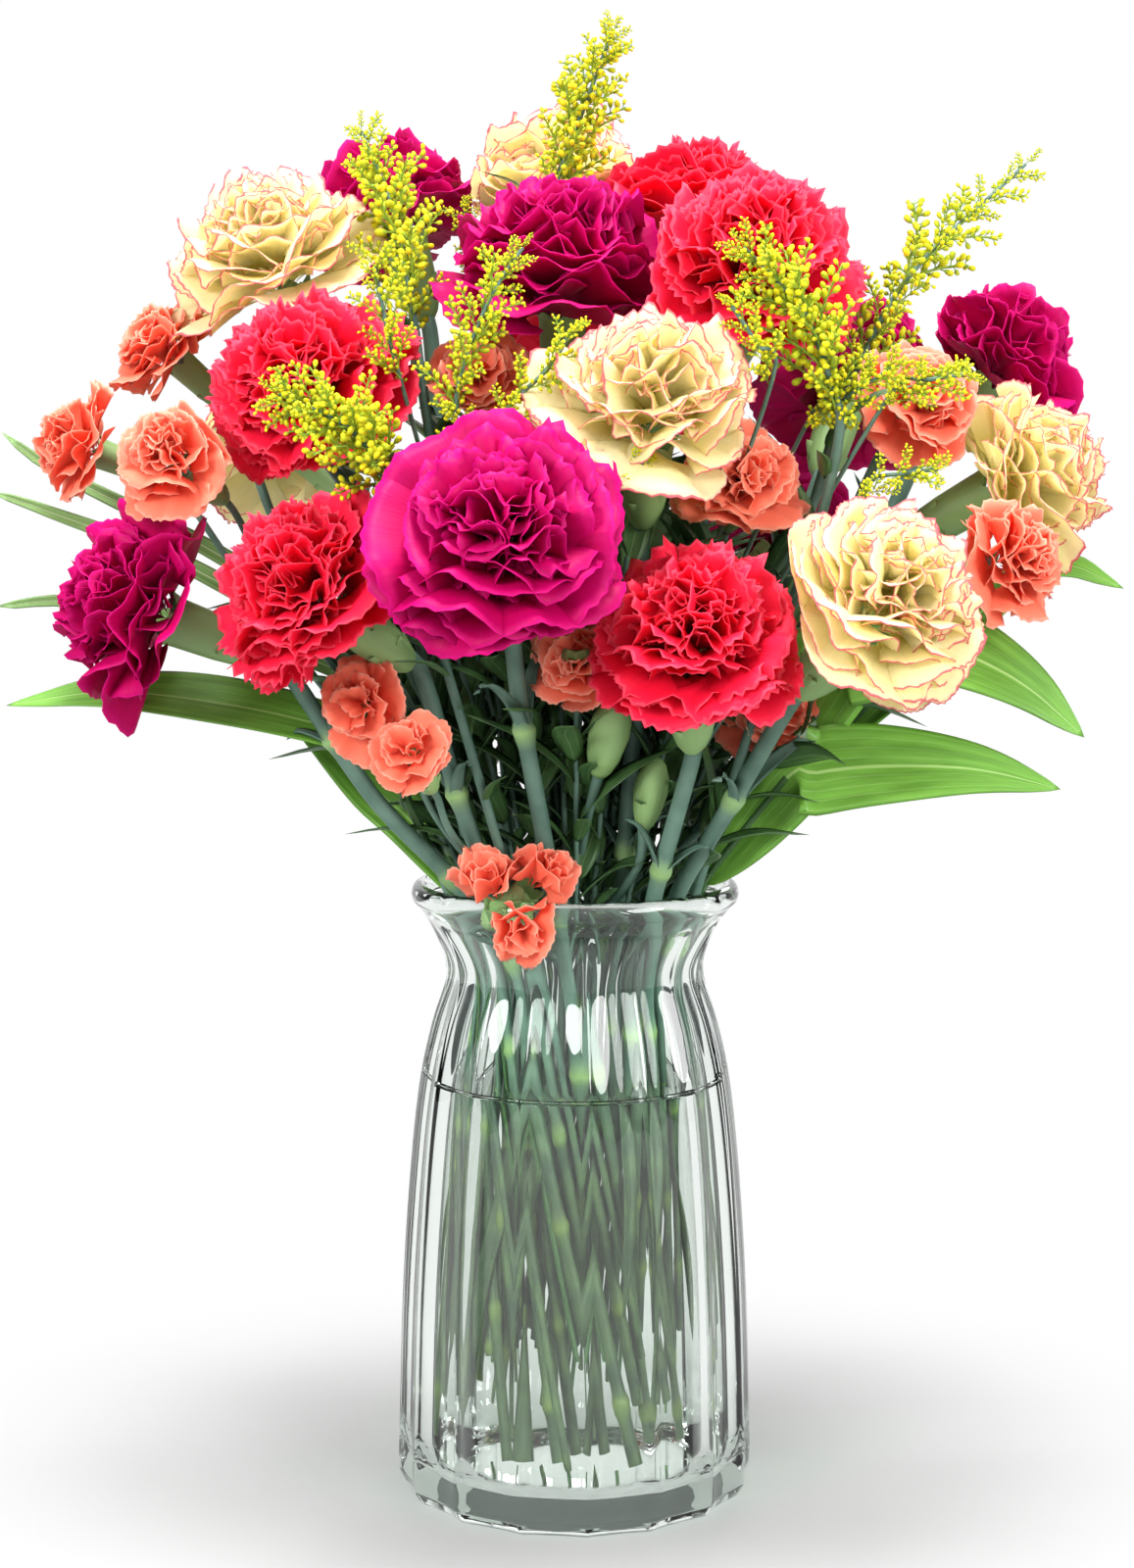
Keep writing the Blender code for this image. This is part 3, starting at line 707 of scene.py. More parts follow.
# %% Vase
vessel = vessel_tree()
profile_line = [(radius, 0.0, height) for radius, height, _ in profile]
profile_mesh = outline_mesh("vase_profile", profile_line, cut=[cut for _, _, cut in profile])
vase = outward(grow(
    "fluted_vase", vessel, profile_mesh, Around=192, Flutes=FLUTES, Depth=FLUTE_SUNK,
    Turn=RIDGE_TURN, Material=clear_finish("pressed_glass", 1.50, (0.89, 0.94, 0.91)),
))
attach(vase, "root")
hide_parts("vase")
print("vase:", len(vase.data.polygons), "faces")

# %% [markdown]
# ## The water
# It fills two thirds of the vase. Its skin is drawn up a little where it meets the glass, which
# shows as a dark line. It is a closed body a hair's breadth off the glass, so light crosses
# from one to the other the way it should.

# %% Water
WATER_TOP = 0.136
WATER_GAP = 0.0002
SKIN_RISE = 0.0014

wetted = [(r, z) for r, z, _ in profile[len(outside) * PROFILE_STEPS :] if z <= WATER_TOP]
skin_edge = max(r for r, z in wetted if z > WATER_TOP - 0.006) - 2 * WATER_GAP
skin = [(0.0, 0.0), (0.030, 0.0), (0.0430, 0.0001), (0.0452, 0.0005), (skin_edge, SKIN_RISE)]
outline = [(r, 0.0, WATER_TOP + rise) for r, rise in skin]
outline += [(max(0.0, r - WATER_GAP), 0.0, z + WATER_GAP) for r, z in wetted]
water_outline = outline_mesh("water_outline", outline, cut=[0.0] * len(outline))
water = outward(grow(
    "water", vessel, water_outline, Around=128, Flutes=FLUTES, Depth=0.0, Turn=0.0,
    Material=clear_finish("water", 1.33, (0.97, 0.99, 0.97)),
))
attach(water, "root")
print("water:", len(water.data.polygons), "faces, up to", WATER_TOP * 1000, "mm")

# %% [markdown]
# ## One petal
# A carnation petal is a claw that widens into a fan. Its margin is toothed, and the fan is too
# wide for the room it has, so it ruffles: low waves near the base, more and shorter ones at the
# margin. Here each petal is a grid of points bent the same way. Inner petals curl in over the
# heart and outer ones roll back. A few of each are enough when every one is turned and
# stretched differently.

# %% One petal's points
PETAL_THICKNESS = 0.006  # of the petal's length
ROLL = 2.6  # how far out along the petal it starts to roll back
CLAW = 0.10  # half the angle of the claw
LOBES = 0.035
CORNERS_CUT = 0.20  # how far the fan's corners are rounded off


def petal_points(rng, columns, rows, spread, ruffle, curl, cup, tooth_depth, busy):
    """A petal one unit long, from its claw at the origin along +Y, with its face up. Busy is the
    share of short waves."""
    u = np.linspace(-1, 1, columns + 1)[None, :]
    v = np.linspace(0, 1, rows + 1)[:, None] ** 0.8
    limb = np.clip((v - 0.12) / 0.55, 0, 1)
    half_angle = CLAW + (spread - CLAW) * limb * limb * (3 - 2 * limb)
    lobes = LOBES * np.cos(u * rng.uniform(2.0, 4.5) + rng.uniform(0, 6))
    reach = v * (1 - CORNERS_CUT * u**4 * v + lobes * v)
    tooth = (np.arange(columns + 1) % 2 * (0.4 + rng.random(columns + 1)))[None, :]
    reach = reach - tooth_depth * tooth * np.clip((v - 0.86) / 0.14, 0, 1)
    x = reach * np.sin(u * half_angle)
    y = reach * np.cos(u * half_angle)
    waves = np.zeros_like(x)
    for cycles, share in ((1.1, 1.1), (2.2, 0.9), (3.9, 0.40 * busy), (6.5, 0.17 * busy)):
        phase = math.pi * cycles * rng.uniform(0.85, 1.15) * u + rng.uniform(0, 2 * math.pi)
        swing = np.sin(phase + rng.uniform(-1.0, 1.0) * v)
        waves = waves + share * swing * v ** (1.3 + 0.5 * cycles)
    lift = ruffle * waves + cup * x**2
    way = np.linspace(0, 1.3, 200)
    bend = curl * way**ROLL
    forward = np.cumsum(np.cos(bend)) * (way[1] - way[0])
    upward = np.cumsum(np.sin(bend)) * (way[1] - way[0])
    turn = curl * np.maximum(y, 0) ** ROLL
    bent_y = np.interp(y, way, forward) - np.sin(turn) * lift
    bent_z = np.interp(y, way, upward) + np.cos(turn) * lift
    points = np.stack([x * (1 - 0.25 * ruffle * v), bent_y, bent_z], axis=2)
    uv = np.stack(np.broadcast_arrays((u + 1) / 2, v), axis=2)
    return points, uv


def grid_mesh(name, points, wrap=False, uv=None, uv_name="UVMap"):
    """A mesh from rows of points. Wrap joins the last column to the first."""
    rows, columns = points.shape[:2]
    faces = []
    for row in range(rows - 1):
        for column in range(columns if wrap else columns - 1):
            after = (column + 1) % columns
            low, high = row * columns, (row + 1) * columns
            faces.append((low + column, low + after, high + after, high + column))
    mesh = bpy.data.meshes.new(name)
    mesh.from_pydata([tuple(point) for point in points.reshape(-1, 3)], [], faces)
    if uv is not None:
        layer = mesh.uv_layers.new(name=uv_name)
        index = np.array(faces).ravel()
        layer.data.foreach_set("uv", uv.reshape(-1, 2)[index].astype(np.float32).ravel())
    mesh.shade_smooth()
    return mesh


# %% Petals of each kind
KINDS_EACH = 4


def petal_library(name, inner, outer):
    """Inner kinds first, then outer ones. The bloom picks by its petals' rank."""
    members = []
    for number in range(2 * KINDS_EACH):
        rng = np.random.default_rng(17 * number + 3)
        points, uv = petal_points(rng, *(inner if number < KINDS_EACH else outer))
        mesh = grid_mesh(f"{name}_petal_{number}", points, uv=uv, uv_name="petal")
        petal = plain_object(mesh.name, mesh)
        solid = petal.modifiers.new("thickness", "SOLIDIFY")
        solid.thickness = PETAL_THICKNESS
        solid.offset = 0.0
        mesh = settled(petal)
        petal.modifiers.clear()
        petal.data = mesh
        members.append(petal)
    return library(f"{name}_petal_kinds", members)


# columns, rows, spread, ruffle, curl, cup, depth of the teeth, share of short waves
petal_shapes = {
    "cream": (
        (28, 7, 0.95, 0.095, -0.95, -0.10, 0.030, 1.5),
        (32, 8, 1.00, 0.060, -0.55, -0.12, 0.022, 0.9),
    ),
    "red": (
        (30, 7, 0.95, 0.105, -0.95, -0.10, 0.065, 1.7),
        (32, 7, 1.00, 0.080, -0.70, -0.10, 0.055, 1.3),
    ),
    "magenta": (
        (26, 7, 1.00, 0.125, -1.00, 0.05, 0.035, 1.4),
        (30, 8, 1.05, 0.085, -0.60, 0.05, 0.022, 0.9),
    ),
    "coral": (
        (20, 6, 0.90, 0.11, -0.90, -0.10, 0.050, 1.2),
        (24, 6, 1.00, 0.080, -0.60, -0.10, 0.035, 0.8),
    ),
}
petal_kinds = {kind: petal_library(kind, *shapes) for kind, shapes in petal_shapes.items()}

# %% [markdown]
# ## A bloom
# Petals leave the calyx in a spiral. Each stands the golden angle round from the last. The
# first stand upright in the heart and the last lie flat or roll back under the head. The tree
# lays that spiral. The bloom is then fitted to its plain solid's width and height, and where
# two heads press together the petals crowd up against the plane between them.

# %% Bloom tree
GOLDEN_ANGLE = math.pi * (3 - math.sqrt(5))
PETALS_START = 0.001  # down inside the calyx
OUTER_FROM = 0.52  # the rank at which petals change from inner to outer kinds


def bloom_tree():
    tree = Tree("bloom")
    petals, count, material = tree.ask(Petals="Collection", Count=50, Material="Material")
    inner_tilt, outer_tilt = tree.ask(Inner_Tilt=0.1, Outer_Tilt=1.6)
    inner_length, outer_length = tree.ask(Inner_Length=0.04, Outer_Length=0.036)
    ring, claw_rise, loose, seed = tree.ask(Ring=0.004, Rise=0.018, Loose=1.0, Seed=0)
    line = tree.out("GeometryNodeMeshLine", {"mode": "OFFSET"}, Count=count, Offset=(0, 0, 0))
    index = tree.out("GeometryNodeInputIndex")
    rank = tree.math("DIVIDE", index, tree.minus(count, 1.0))
    spin = tree.times_plus(index, GOLDEN_ANGLE, tree.random(-0.25, 0.25, seed, 1))
    opened = tree.math("POWER", rank, 0.80)
    tilt = tree.times_plus(tree.minus(outer_tilt, inner_tilt), opened, inner_tilt)
    uneven = tree.times(tree.times_plus(rank, 0.6, 0.5), loose)
    tilt = tree.times_plus(tree.random(-0.24, 0.16, seed, 2), uneven, tilt)
    length = tree.times_plus(tree.minus(outer_length, inner_length), rank, inner_length)
    stretch = tree.times_plus(tree.random(-0.20, 0.12, seed, 3), uneven, 1.0)
    length = tree.times(length, stretch)
    out = tree.times(ring, rank)
    place = tree.vector(
        tree.times(tree.math("SINE", spin), tree.times(out, -1.0)),
        tree.times(tree.math("COSINE", spin), out),
        tree.times_plus(tree.minus(1.0, rank), claw_rise, -PETALS_START),
    )
    points = tree.out("GeometryNodeSetPosition", Geometry=line, Position=place)
    roll = tree.times(tree.random(-0.40, 0.40, seed, 4), uneven)
    turn = tree.vector(tree.minus(math.pi / 2, tilt), roll, spin)
    outer_kind = tree.math("GREATER_THAN", rank, OUTER_FROM)
    any_kind = tree.random(0, KINDS_EACH - 1, seed, 5, "INT")
    kind = tree.times_plus(outer_kind, float(KINDS_EACH), any_kind)
    wide = tree.times(length, tree.random(0.85, 1.12, seed, 6))
    put = tree.instances(points, petals, turn, tree.vector(wide, length, length), kind)
    return tree.finish(put, material)


bloom = bloom_tree()
manner_names = ("Count", "Inner_Tilt", "Outer_Tilt", "Inner_Length", "Outer_Length", "Rise", "Loose")
manner = {
    "cream": (54, -0.20, 1.46, 0.025, 0.037, 0.011, 0.9),
    "red": (64, -0.15, 1.42, 0.025, 0.035, 0.011, 0.8),
    "magenta": (52, -0.10, 1.42, 0.026, 0.038, 0.010, 1.2),
    "coral": (30, -0.35, 1.36, 0.024, 0.036, 0.010, 1.1),
}
print("bloom tree:", len(bloom.nodes), "nodes")

# %% Fitting a bloom to its place
PROUD = {"cream": 1.06, "red": 1.06, "magenta": 1.06, "coral": 1.18}  # past the plain bloom
FULLNESS = 0.88  # of the plain bloom's height, which the tallest petals reach
DROOP = 0.003  # petals hang no further below the mouth than this
SOFTNESS = 0.004  # how gradually petals give way to a neighbour
ROOTED = 0.55  # of the mouth's radius, which the petals' feet fill
WIDE_AT = 98.5  # the percentile of spread that counts as the bloom's width
TALL_AT = 99  # and of height that counts as its height


def read_points(mesh):
    flat = np.empty(len(mesh.vertices) * 3, np.float32)
    mesh.vertices.foreach_get("co", flat)
    return flat.reshape(-1, 3).astype(float)


def carry(points, matrix):
    turn = np.array(matrix)
    return points @ turn[:3, :3].T + turn[:3, 3]


def crowd(points, head, others):
    """Press points back to the plane between this head and each neighbour, without a crease."""
    for other in others:
        between = other.centre - head.centre
        distance = between.length
        if other is head or distance > head.radius + other.radius:
            continue
        plane = (distance**2 + head.radius**2 - other.radius**2) / (2 * distance)
        normal = np.array(between / distance)
        beyond = (points - np.array(head.centre)) @ normal - plane
        points = points - np.outer(SOFTNESS * np.logaddexp(0, beyond / SOFTNESS), normal)
    return points


def dress_bloom(name, head, colour, seed, neighbours, **changes):
    values = {**dict(zip(manner_names, manner[colour])), **changes}
    obj = grow(
        name, bloom, None, Petals=petal_kinds[colour], Ring=ROOTED * head.mouth_radius, Seed=seed,
        Material=finishes[colour], **values,
    )
    points = read_points(obj.data)
    spread = np.linalg.norm(points[:, :2], axis=1)
    points *= PROUD[colour] * head.radius / np.percentile(spread, WIDE_AT)
    hangs = (points[:, 2] < 0) & (spread > 1.2 * head.mouth_radius)
    points[hangs, 2] = DROOP * (np.exp(points[hangs, 2] / DROOP) - 1)
    stretch = FULLNESS * head.height / np.percentile(points[:, 2], TALL_AT)
    points[:, 2] *= np.where(points[:, 2] > 0, stretch, 1.0)
    points = crowd(carry(points, head.place), head, neighbours)
    obj.data.vertices.foreach_set("co", points.astype(np.float32).ravel())
    obj.data.update()
    return obj


petal_faces = 0
for number, (node, head) in enumerate(heads.items()):
    colour = node.split("_")[0]
    made = dress_bloom(f"{node}_petals", head, colour, 11 * number + 5, list(heads.values()))
    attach(made, "root")
    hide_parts(node)
    petal_faces += len(made.data.polygons)
print("blooms:", len(heads), "with", petal_faces, "faces")

# %% [markdown]
# ## Stems
# A carnation stem is a jointed cane. At each joint it swells, pales and carries a pair of
# narrow leaves that clasp it. A node tree runs a round tube along the way read from the plain
# stem and swells it at even steps down from the calyx, so the joints stay on the stem wherever
# it bends.

# %% Stem tree
JOINT_SPACING = 0.058
JOINT_SWELL = 0.42
JOINT_WIDTH = 0.0026


def stem_tree():
    tree = Tree("jointed_stem")
    spacing, first, swell = tree.ask(Spacing=JOINT_SPACING, First_Joint=0.04, Swell=JOINT_SWELL)
    sides, step, material = tree.ask(Sides=10, Step=0.003, Material="Material")
    settings = {"mode": "LENGTH"}
    curve = tree.out("GeometryNodeResampleCurve", settings, Curve=tree.smooth_curve(), Length=step)
    way = tree.add("GeometryNodeSplineParameter").outputs["Length"]
    whole = tree.add("GeometryNodeSplineLength").outputs["Length"]
    from_top = tree.minus(tree.minus(whole, way), first)
    share = tree.math("FRACT", tree.math("DIVIDE", from_top, spacing))
    nearest = tree.times(tree.math("MINIMUM", share, tree.minus(1.0, share)), spacing)
    narrow = tree.math("POWER", tree.math("DIVIDE", nearest, JOINT_WIDTH), 2.0)
    joint = tree.math("EXPONENT", tree.times(narrow, -1.0))
    joint = tree.times(joint, tree.math("GREATER_THAN", from_top, -0.010))
    thick = tree.times(tree.number("thick"), tree.times_plus(joint, swell, 1.0))
    pale = tree.times(joint, tree.math("GREATER_THAN", swell, 0.01))
    settings = {"data_type": "FLOAT", "domain": "POINT"}
    curve = tree.out("GeometryNodeStoreNamedAttribute", settings, Geometry=curve, Name="pale", Value=pale)
    section = tree.out("GeometryNodeCurvePrimitiveCircle", Resolution=sides, Radius=1.0)
    tube = tree.out(
        "GeometryNodeCurveToMesh", Curve=curve, Profile_Curve=section, Scale=thick, Fill_Caps=True
    )
    return tree.finish(tube, material)


cane = stem_tree()


def stem_piece(name, way, first=0.03, swell=JOINT_SWELL, sides=10, step=0.003, finish="stem"):
    """A tube along (point, radius) pairs."""
    line = outline_mesh(name, [point for point, _ in way], thick=[radius for _, radius in way])
    return grow(
        name, cane, line, Spacing=JOINT_SPACING, First_Joint=first, Swell=swell, Sides=sides,
        Step=step, Material=finishes[finish],
    )


def twig_piece(way, sides=8, step=0.005, finish="stem", name="twig"):
    """A thin tube without joints."""
    return stem_piece(name, way, swell=0.0, sides=sides, step=step, finish=finish)


print("stem tree:", len(cane.nodes), "nodes")

# %% [markdown]
# ## Blades
# Every leaf here is a blade: a midrib, a width that swells and tapers, a fold along the midrib
# and a slight wave at the margin. One writer makes them all, from the scale at the foot of a
# calyx to the broad leaves at the side. A blade is a flat tube, so it is closed.

# %% Blade writer
def distance_walked(line):
    """How far along a line each of its points is."""
    steps = np.linalg.norm(np.diff(line, axis=0), axis=1)
    return np.concatenate([[0], np.cumsum(steps)])


def point_at(share, along, line):
    return np.array([np.interp(share, along, line[:, axis]) for axis in range(3)])


def blade(
    name, midrib, half_width, normal, finish, thickness=0.0004, fullness=0.9, widest=0.7,
    fold=0.3, wave=0.0, across=5, rows=18, foot=0.12, twist=0.0,
):
    """A leaf along a midrib of points. Normal is the way that its upper face looks."""
    line = np.array(smooth_line(midrib, 8))
    walked = distance_walked(line)
    t = np.linspace(0, 1, rows + 1)
    centre = point_at(t * walked[-1], walked, line).T
    along = np.gradient(centre, axis=0)
    along /= np.linalg.norm(along, axis=1, keepdims=True)
    side = np.cross(along, np.array(normal, float))
    side /= np.linalg.norm(side, axis=1, keepdims=True)
    up = np.cross(side, along)
    spin = (twist * t)[:, None]
    side, up = side * np.cos(spin) + up * np.sin(spin), up * np.cos(spin) - side * np.sin(spin)
    swell = np.sin(np.pi * np.clip(t, 0, 1) ** widest) ** fullness
    width = half_width * np.maximum(swell, foot * (1 - t) ** 0.5)
    width[-1] = 0
    u = np.linspace(-1, 1, across)
    around = np.concatenate([u, u[-2:0:-1]])
    above = np.concatenate([np.ones(across), -np.ones(across - 2)])
    above[0] = above[across - 1] = 0
    w, a, f = width[:, None], around[None], above[None]
    ripple = wave * half_width * np.sin(9 * t[:, None] + 2.0 * a) * a**2
    rise = np.abs(a) * w * math.sin(fold) + ripple * np.minimum(1, w / half_width)
    rise = rise + f * thickness / 2 * (1 - 0.6 * a**2) * np.minimum(1, 6 * w / half_width)
    out = a * w * math.cos(fold)
    points = centre[:, None] + side[:, None] * out[..., None] + up[:, None] * rise[..., None]
    points[0] = centre[0]
    points[-1] = centre[-1]
    uv = np.stack(np.broadcast_arrays((a + 1) / 2, t[:, None]), axis=2)
    return closed_piece(name, points, finish, uv=uv, uv_name="blade")


def closed_piece(name, points, finish, matrix=None, **maps):
    """A closed piece from rings of points, carried to its place."""
    if matrix is not None:
        points = carry(points.reshape(-1, 3), matrix).reshape(points.shape)
    mesh = grid_mesh(name, points, wrap=True, **maps)
    if finish:
        mesh.materials.append(finishes[finish])
    return outward(plain_object(name, mesh))


def joined(name, parts):
    """One object from several. Their maps and materials are kept."""
    with bpy.context.temp_override(active_object=parts[0], selected_editable_objects=parts):
        bpy.ops.object.join()
    parts[0].name = name
    parts[0].data.name = name
    return parts[0]


def finish_piece(obj, slot, *nodes):
    obj.data.transform(obj.matrix_world)
    obj.matrix_world = Matrix.Identity(4)
    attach(obj, "root")
    if nodes:
        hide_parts(*nodes)


# %% [markdown]
# ## Calyx, scales and stem leaves
# The calyx is a ribbed tube that ends in five teeth. Two pairs of pointed scales hug its foot.
# It is modelled as one skin, up the outside, over the teeth and down inside, so that the
# petals rise out of a real cup.

# %% Calyx and scales
CALYX_LENGTH = 0.029
CALYX_COLUMNS = 40
TEETH = 5
TOOTH = 0.0042
SCALE_REACH = 0.42  # of the calyx, for the taller pair
PALE = 0.9


def paled(obj):
    """Marks a piece as pale and yellowish, as a stem is at its joints."""
    mark(obj.data, "pale", np.full(len(obj.data.vertices), PALE, np.float32))
    return obj


def calyx_piece(length, mouth_radius, foot_radius, tooth, matrix):
    """A ribbed cup with its mouth at the origin, facing +Z, carried to its place."""
    turn = np.linspace(0, 2 * math.pi, CALYX_COLUMNS, endpoint=False)
    flat = 0 * turn
    tip = 1 - 0.94 * np.abs((turn * TEETH / (2 * math.pi)) % 1.0 * 2 - 1)
    ribs = 1 + 0.035 * np.cos(4 * TEETH * turn)
    rows = [(flat, flat - length), (flat + foot_radius, flat - length)]
    outer = [(-0.97, 0.45), (-0.90, 0.62), (-0.75, 0.83), (-0.5, 0.93), (-0.25, 0.97), (-0.06, 1.0)]
    for number, (height, share) in enumerate(outer):
        radius = max(foot_radius, mouth_radius * share)
        rows.append((radius * (ribs if number > 0 else 1 + flat), length * height + flat))
    for lean, rise in ((1.06, 0.35), (1.16, 0.75), (1.27, 1.0), (1.20, 0.97), (1.08, 0.72), (0.97, 0.35)):
        crown = mouth_radius * (1 + (lean - 1) * tip) if lean > 1 else mouth_radius * lean + flat
        rows.append((crown * (ribs if lean < 1.2 else 1), tooth * rise * tip**0.8))
    for height, share in ((-0.10, 0.93), (-0.30, 0.85), (-0.32, 0.0)):
        rows.append((mouth_radius * share + flat, length * height + flat))
    points = np.array([np.stack([r * np.cos(turn), r * np.sin(turn), z], axis=1) for r, z in rows])
    points[..., 2] -= 0.65 * tooth
    return paled(closed_piece("calyx", points, "stem", matrix))


def scales(length, radius, foot_radius, matrix):
    """Two pairs of pointed scales round the foot of a calyx, one pair taller."""
    made = []
    for number in range(4):
        turn = matrix @ Matrix.Rotation(number * math.pi / 2 + 0.4, 4, "Z")
        tall = length * (SCALE_REACH if number % 2 else 0.75 * SCALE_REACH)
        out = [
            (foot_radius, -length * 1.01), (radius * 0.80, -length + tall * 0.35),
            (radius * 1.00, -length + tall * 0.75), (radius * 1.12, -length + tall),
        ]
        line = [turn @ Vector((r, 0, z)) for r, z in out]
        normal = turn.to_3x3() @ Vector((1, 0, 0.1))
        made.append(paled(blade(
            "scale", line, radius * 0.95, normal, "stem", 0.0006, 0.7, 0.6, fold=-0.75, rows=7,
        )))
    return made


def cup_and_scales(length, mouth_radius, foot_radius, tooth, place):
    cup = calyx_piece(length, mouth_radius, foot_radius, tooth, place)
    return [cup, *scales(length, mouth_radius, foot_radius, place)]


# %% Stem leaves
ABOVE_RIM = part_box("vase")[1].z + 0.004
STEM_LEAF_WIDTH = 0.0034  # half of it
STEM_LEAF_LENGTHS = (0.012, 0.036)
CALYX_CLEARANCE = 0.010


def stem_leaf(at, up, out, radius, length, curl):
    """A narrow leaf that clasps the stem, stands off it and curls over."""
    bend = radius * 1.6 + length * 0.22 * (1 + curl)
    tip = radius * 1.6 + length * 0.62 * (0.5 + curl)
    midrib = [
        at + out * radius * 0.6 - up * 0.002,
        at + out * radius * 1.7 + up * length * 0.25,
        at + out * bend + up * length * 0.62,
        at + out * tip + up * length * (0.95 - 0.6 * curl),
    ]
    return blade(
        "stem_leaf", midrib, STEM_LEAF_WIDTH, out, "stem", 0.0006, 0.6, 0.42, fold=-0.5, rows=12, foot=0.5,
    )


def stem_leaves(way, first, rng):
    """A pair of clasping leaves at each joint that stands above the rim."""
    line = np.array(smooth_line([tuple(point) for point, _ in way], 12))[::-1]
    walked = distance_walked(line)
    made = []
    for joint in range(math.ceil((walked[-1] - first) / JOINT_SPACING)):
        down = first + joint * JOINT_SPACING
        at = Vector(point_at(down, walked, line))
        after = Vector(point_at(down - 0.006, walked, line))
        if at.z < ABOVE_RIM or at.z > line[0][2] - CALYX_CLEARANCE:
            continue
        up = (after - at).normalized()
        spin = rng.uniform(0, math.pi)
        for half in (0, math.pi):
            out = turn_to(up, spin + half).to_3x3() @ Vector((1, 0, 0))
            length = rng.uniform(*STEM_LEAF_LENGTHS)
            made.append(stem_leaf(at, up, out, way[0][1], length, rng.uniform(0.15, 0.75)))
    return made


# %% Carnation greens
for number, (node, rings) in enumerate(stems.items()):
    rng = np.random.default_rng(number + 40)
    head = heads[node.replace("_stem", "_bloom")]
    way = rings[:-CALYX_RINGS]
    first = rng.uniform(0.030, 0.055)
    place = Matrix.Translation(head.mouth) @ turn_to(head.facing, rng.uniform(0, 1))
    parts = [stem_piece(node, way, first)]
    parts += cup_and_scales(CALYX_LENGTH, head.mouth_radius, way[-1][1], TOOTH, place)
    parts += stem_leaves(way, first, rng)
    finish_piece(joined(node.replace("_stem", "_greens"), parts), "carnation_green", node)
print("carnation greens:", len(stems))

# %% [markdown]
# ## Sprays
# A spray carnation forks above the neck into thin branches, each with a small head. The plain
# solid already has the forks, so its surface is rounded off and each branch gets a real calyx.

# %% Spray greens
SPRAY_CALYX = (0.020, 0.0046, 0.0015, 0.0030)  # length, mouth, foot and tooth
ROUNDINGS = 2

for node in [name for name in names if name.startswith("spray_")]:
    bm = welded(node)
    mesh = bpy.data.meshes.new(node)
    bm.to_mesh(mesh)
    bm.free()
    mesh.materials.append(finishes["stem"])
    branches = plain_object(f"{node}_smooth", mesh)
    rounding = branches.modifiers.new("rounding", "SUBSURF")
    rounding.levels = rounding.render_levels = ROUNDINGS
    mesh = settled(branches)
    mesh.shade_smooth()
    branches.modifiers.clear()
    branches.data = mesh
    corners = read_points(mesh)
    parts = [branches]
    for head in heads.values():
        if np.linalg.norm(corners - np.array(head.mouth), axis=1).min() < 0.006:
            parts += cup_and_scales(*SPRAY_CALYX, head.place)
    print(node, (len(parts) - 1) // 5, "heads")
    finish_piece(joined(f"{node}_greens", parts), "carnation_green", node)

# %% [markdown]
# ## Goldenrod
# A goldenrod plume is a stalk with side sprigs set round it, longest at the bottom. Each sprig
# arches over and carries tiny long flower heads all round it, each on a green thread and ripening
# to yellow. A few different sprigs are made one by one. A node tree then sets them round the stalk
# by the golden angle. The same tree sets leaves on twigs.

# %% Sprigs
FLORET_SIDES = 5
SPRIG_LENGTH = 0.0215
SPRIG_KINDS = 3
SPRIG_TWIG = 0.00038
FLORET_SIZES = (0.0042, 0.0064)


def floret_rows():
    """A flower head on its thread, one unit from the twig to the tip. The heads are long buds."""
    turn = np.linspace(0, 2 * math.pi, FLORET_SIDES, endpoint=False)
    section = np.stack([np.cos(turn), np.sin(turn), 0 * turn], axis=1)
    thread = [(0.0, 0.0), (0.030, 0.02), (0.045, 0.38)]
    bud = [(0.17, 0.58), (0.20, 0.80), (0.13, 0.95), (0.0, 1.0)]
    return np.array([section * radius + (0, 0, height) for radius, height in thread + bud])


FLORET = floret_rows()
FLORET_RISE = np.broadcast_to(FLORET[:, :1, 2:], (*FLORET.shape[:2], 1))
FLORET_UV = np.concatenate([0 * FLORET_RISE, FLORET_RISE], axis=2)


def sprig_piece(name, seed, florets):
    """A twig along +Y that arches down, with flower heads all round it, most of them above."""
    rng = np.random.default_rng(seed)
    t = np.linspace(0, 1, 7)
    sway = 0 * t + 0.0006 * np.sin(7 * t + seed)
    arch = np.stack([sway, SPRIG_LENGTH * t, SPRIG_LENGTH * (0.42 * t - 0.30 * t**2)], axis=1)
    twig = twig_piece([(point, SPRIG_TWIG) for point in arch], 4, 0.004, "goldenrod")
    parts = [twig]
    shades = [np.zeros(len(twig.data.vertices))]
    for number in range(florets):
        share = 0.12 + 0.88 * (number + 0.5) / florets
        at = point_at(share, t, arch)
        round_it = number * GOLDEN_ANGLE
        lean = Vector((math.cos(round_it), rng.uniform(0.3, 1.1), 0.45 + math.sin(round_it)))
        size = rng.uniform(*FLORET_SIZES) * (1 - 0.30 * share)
        place = Matrix.Translation(at) @ turn_to(lean, rng.uniform(0, 1)) @ Matrix.Scale(size, 4)
        parts.append(closed_piece("floret", FLORET, None, place, uv=FLORET_UV, uv_name="floret"))
        shades.append(np.full(len(parts[-1].data.vertices), rng.random()))
    made = joined(name, parts)
    mark(made.data, "shade", np.concatenate(shades).astype(np.float32))
    return made


kinds = range(SPRIG_KINDS)
sprigs = library("sprigs", [sprig_piece(f"sprig_{kind}", kind + 2, 21 + 2 * kind) for kind in kinds])

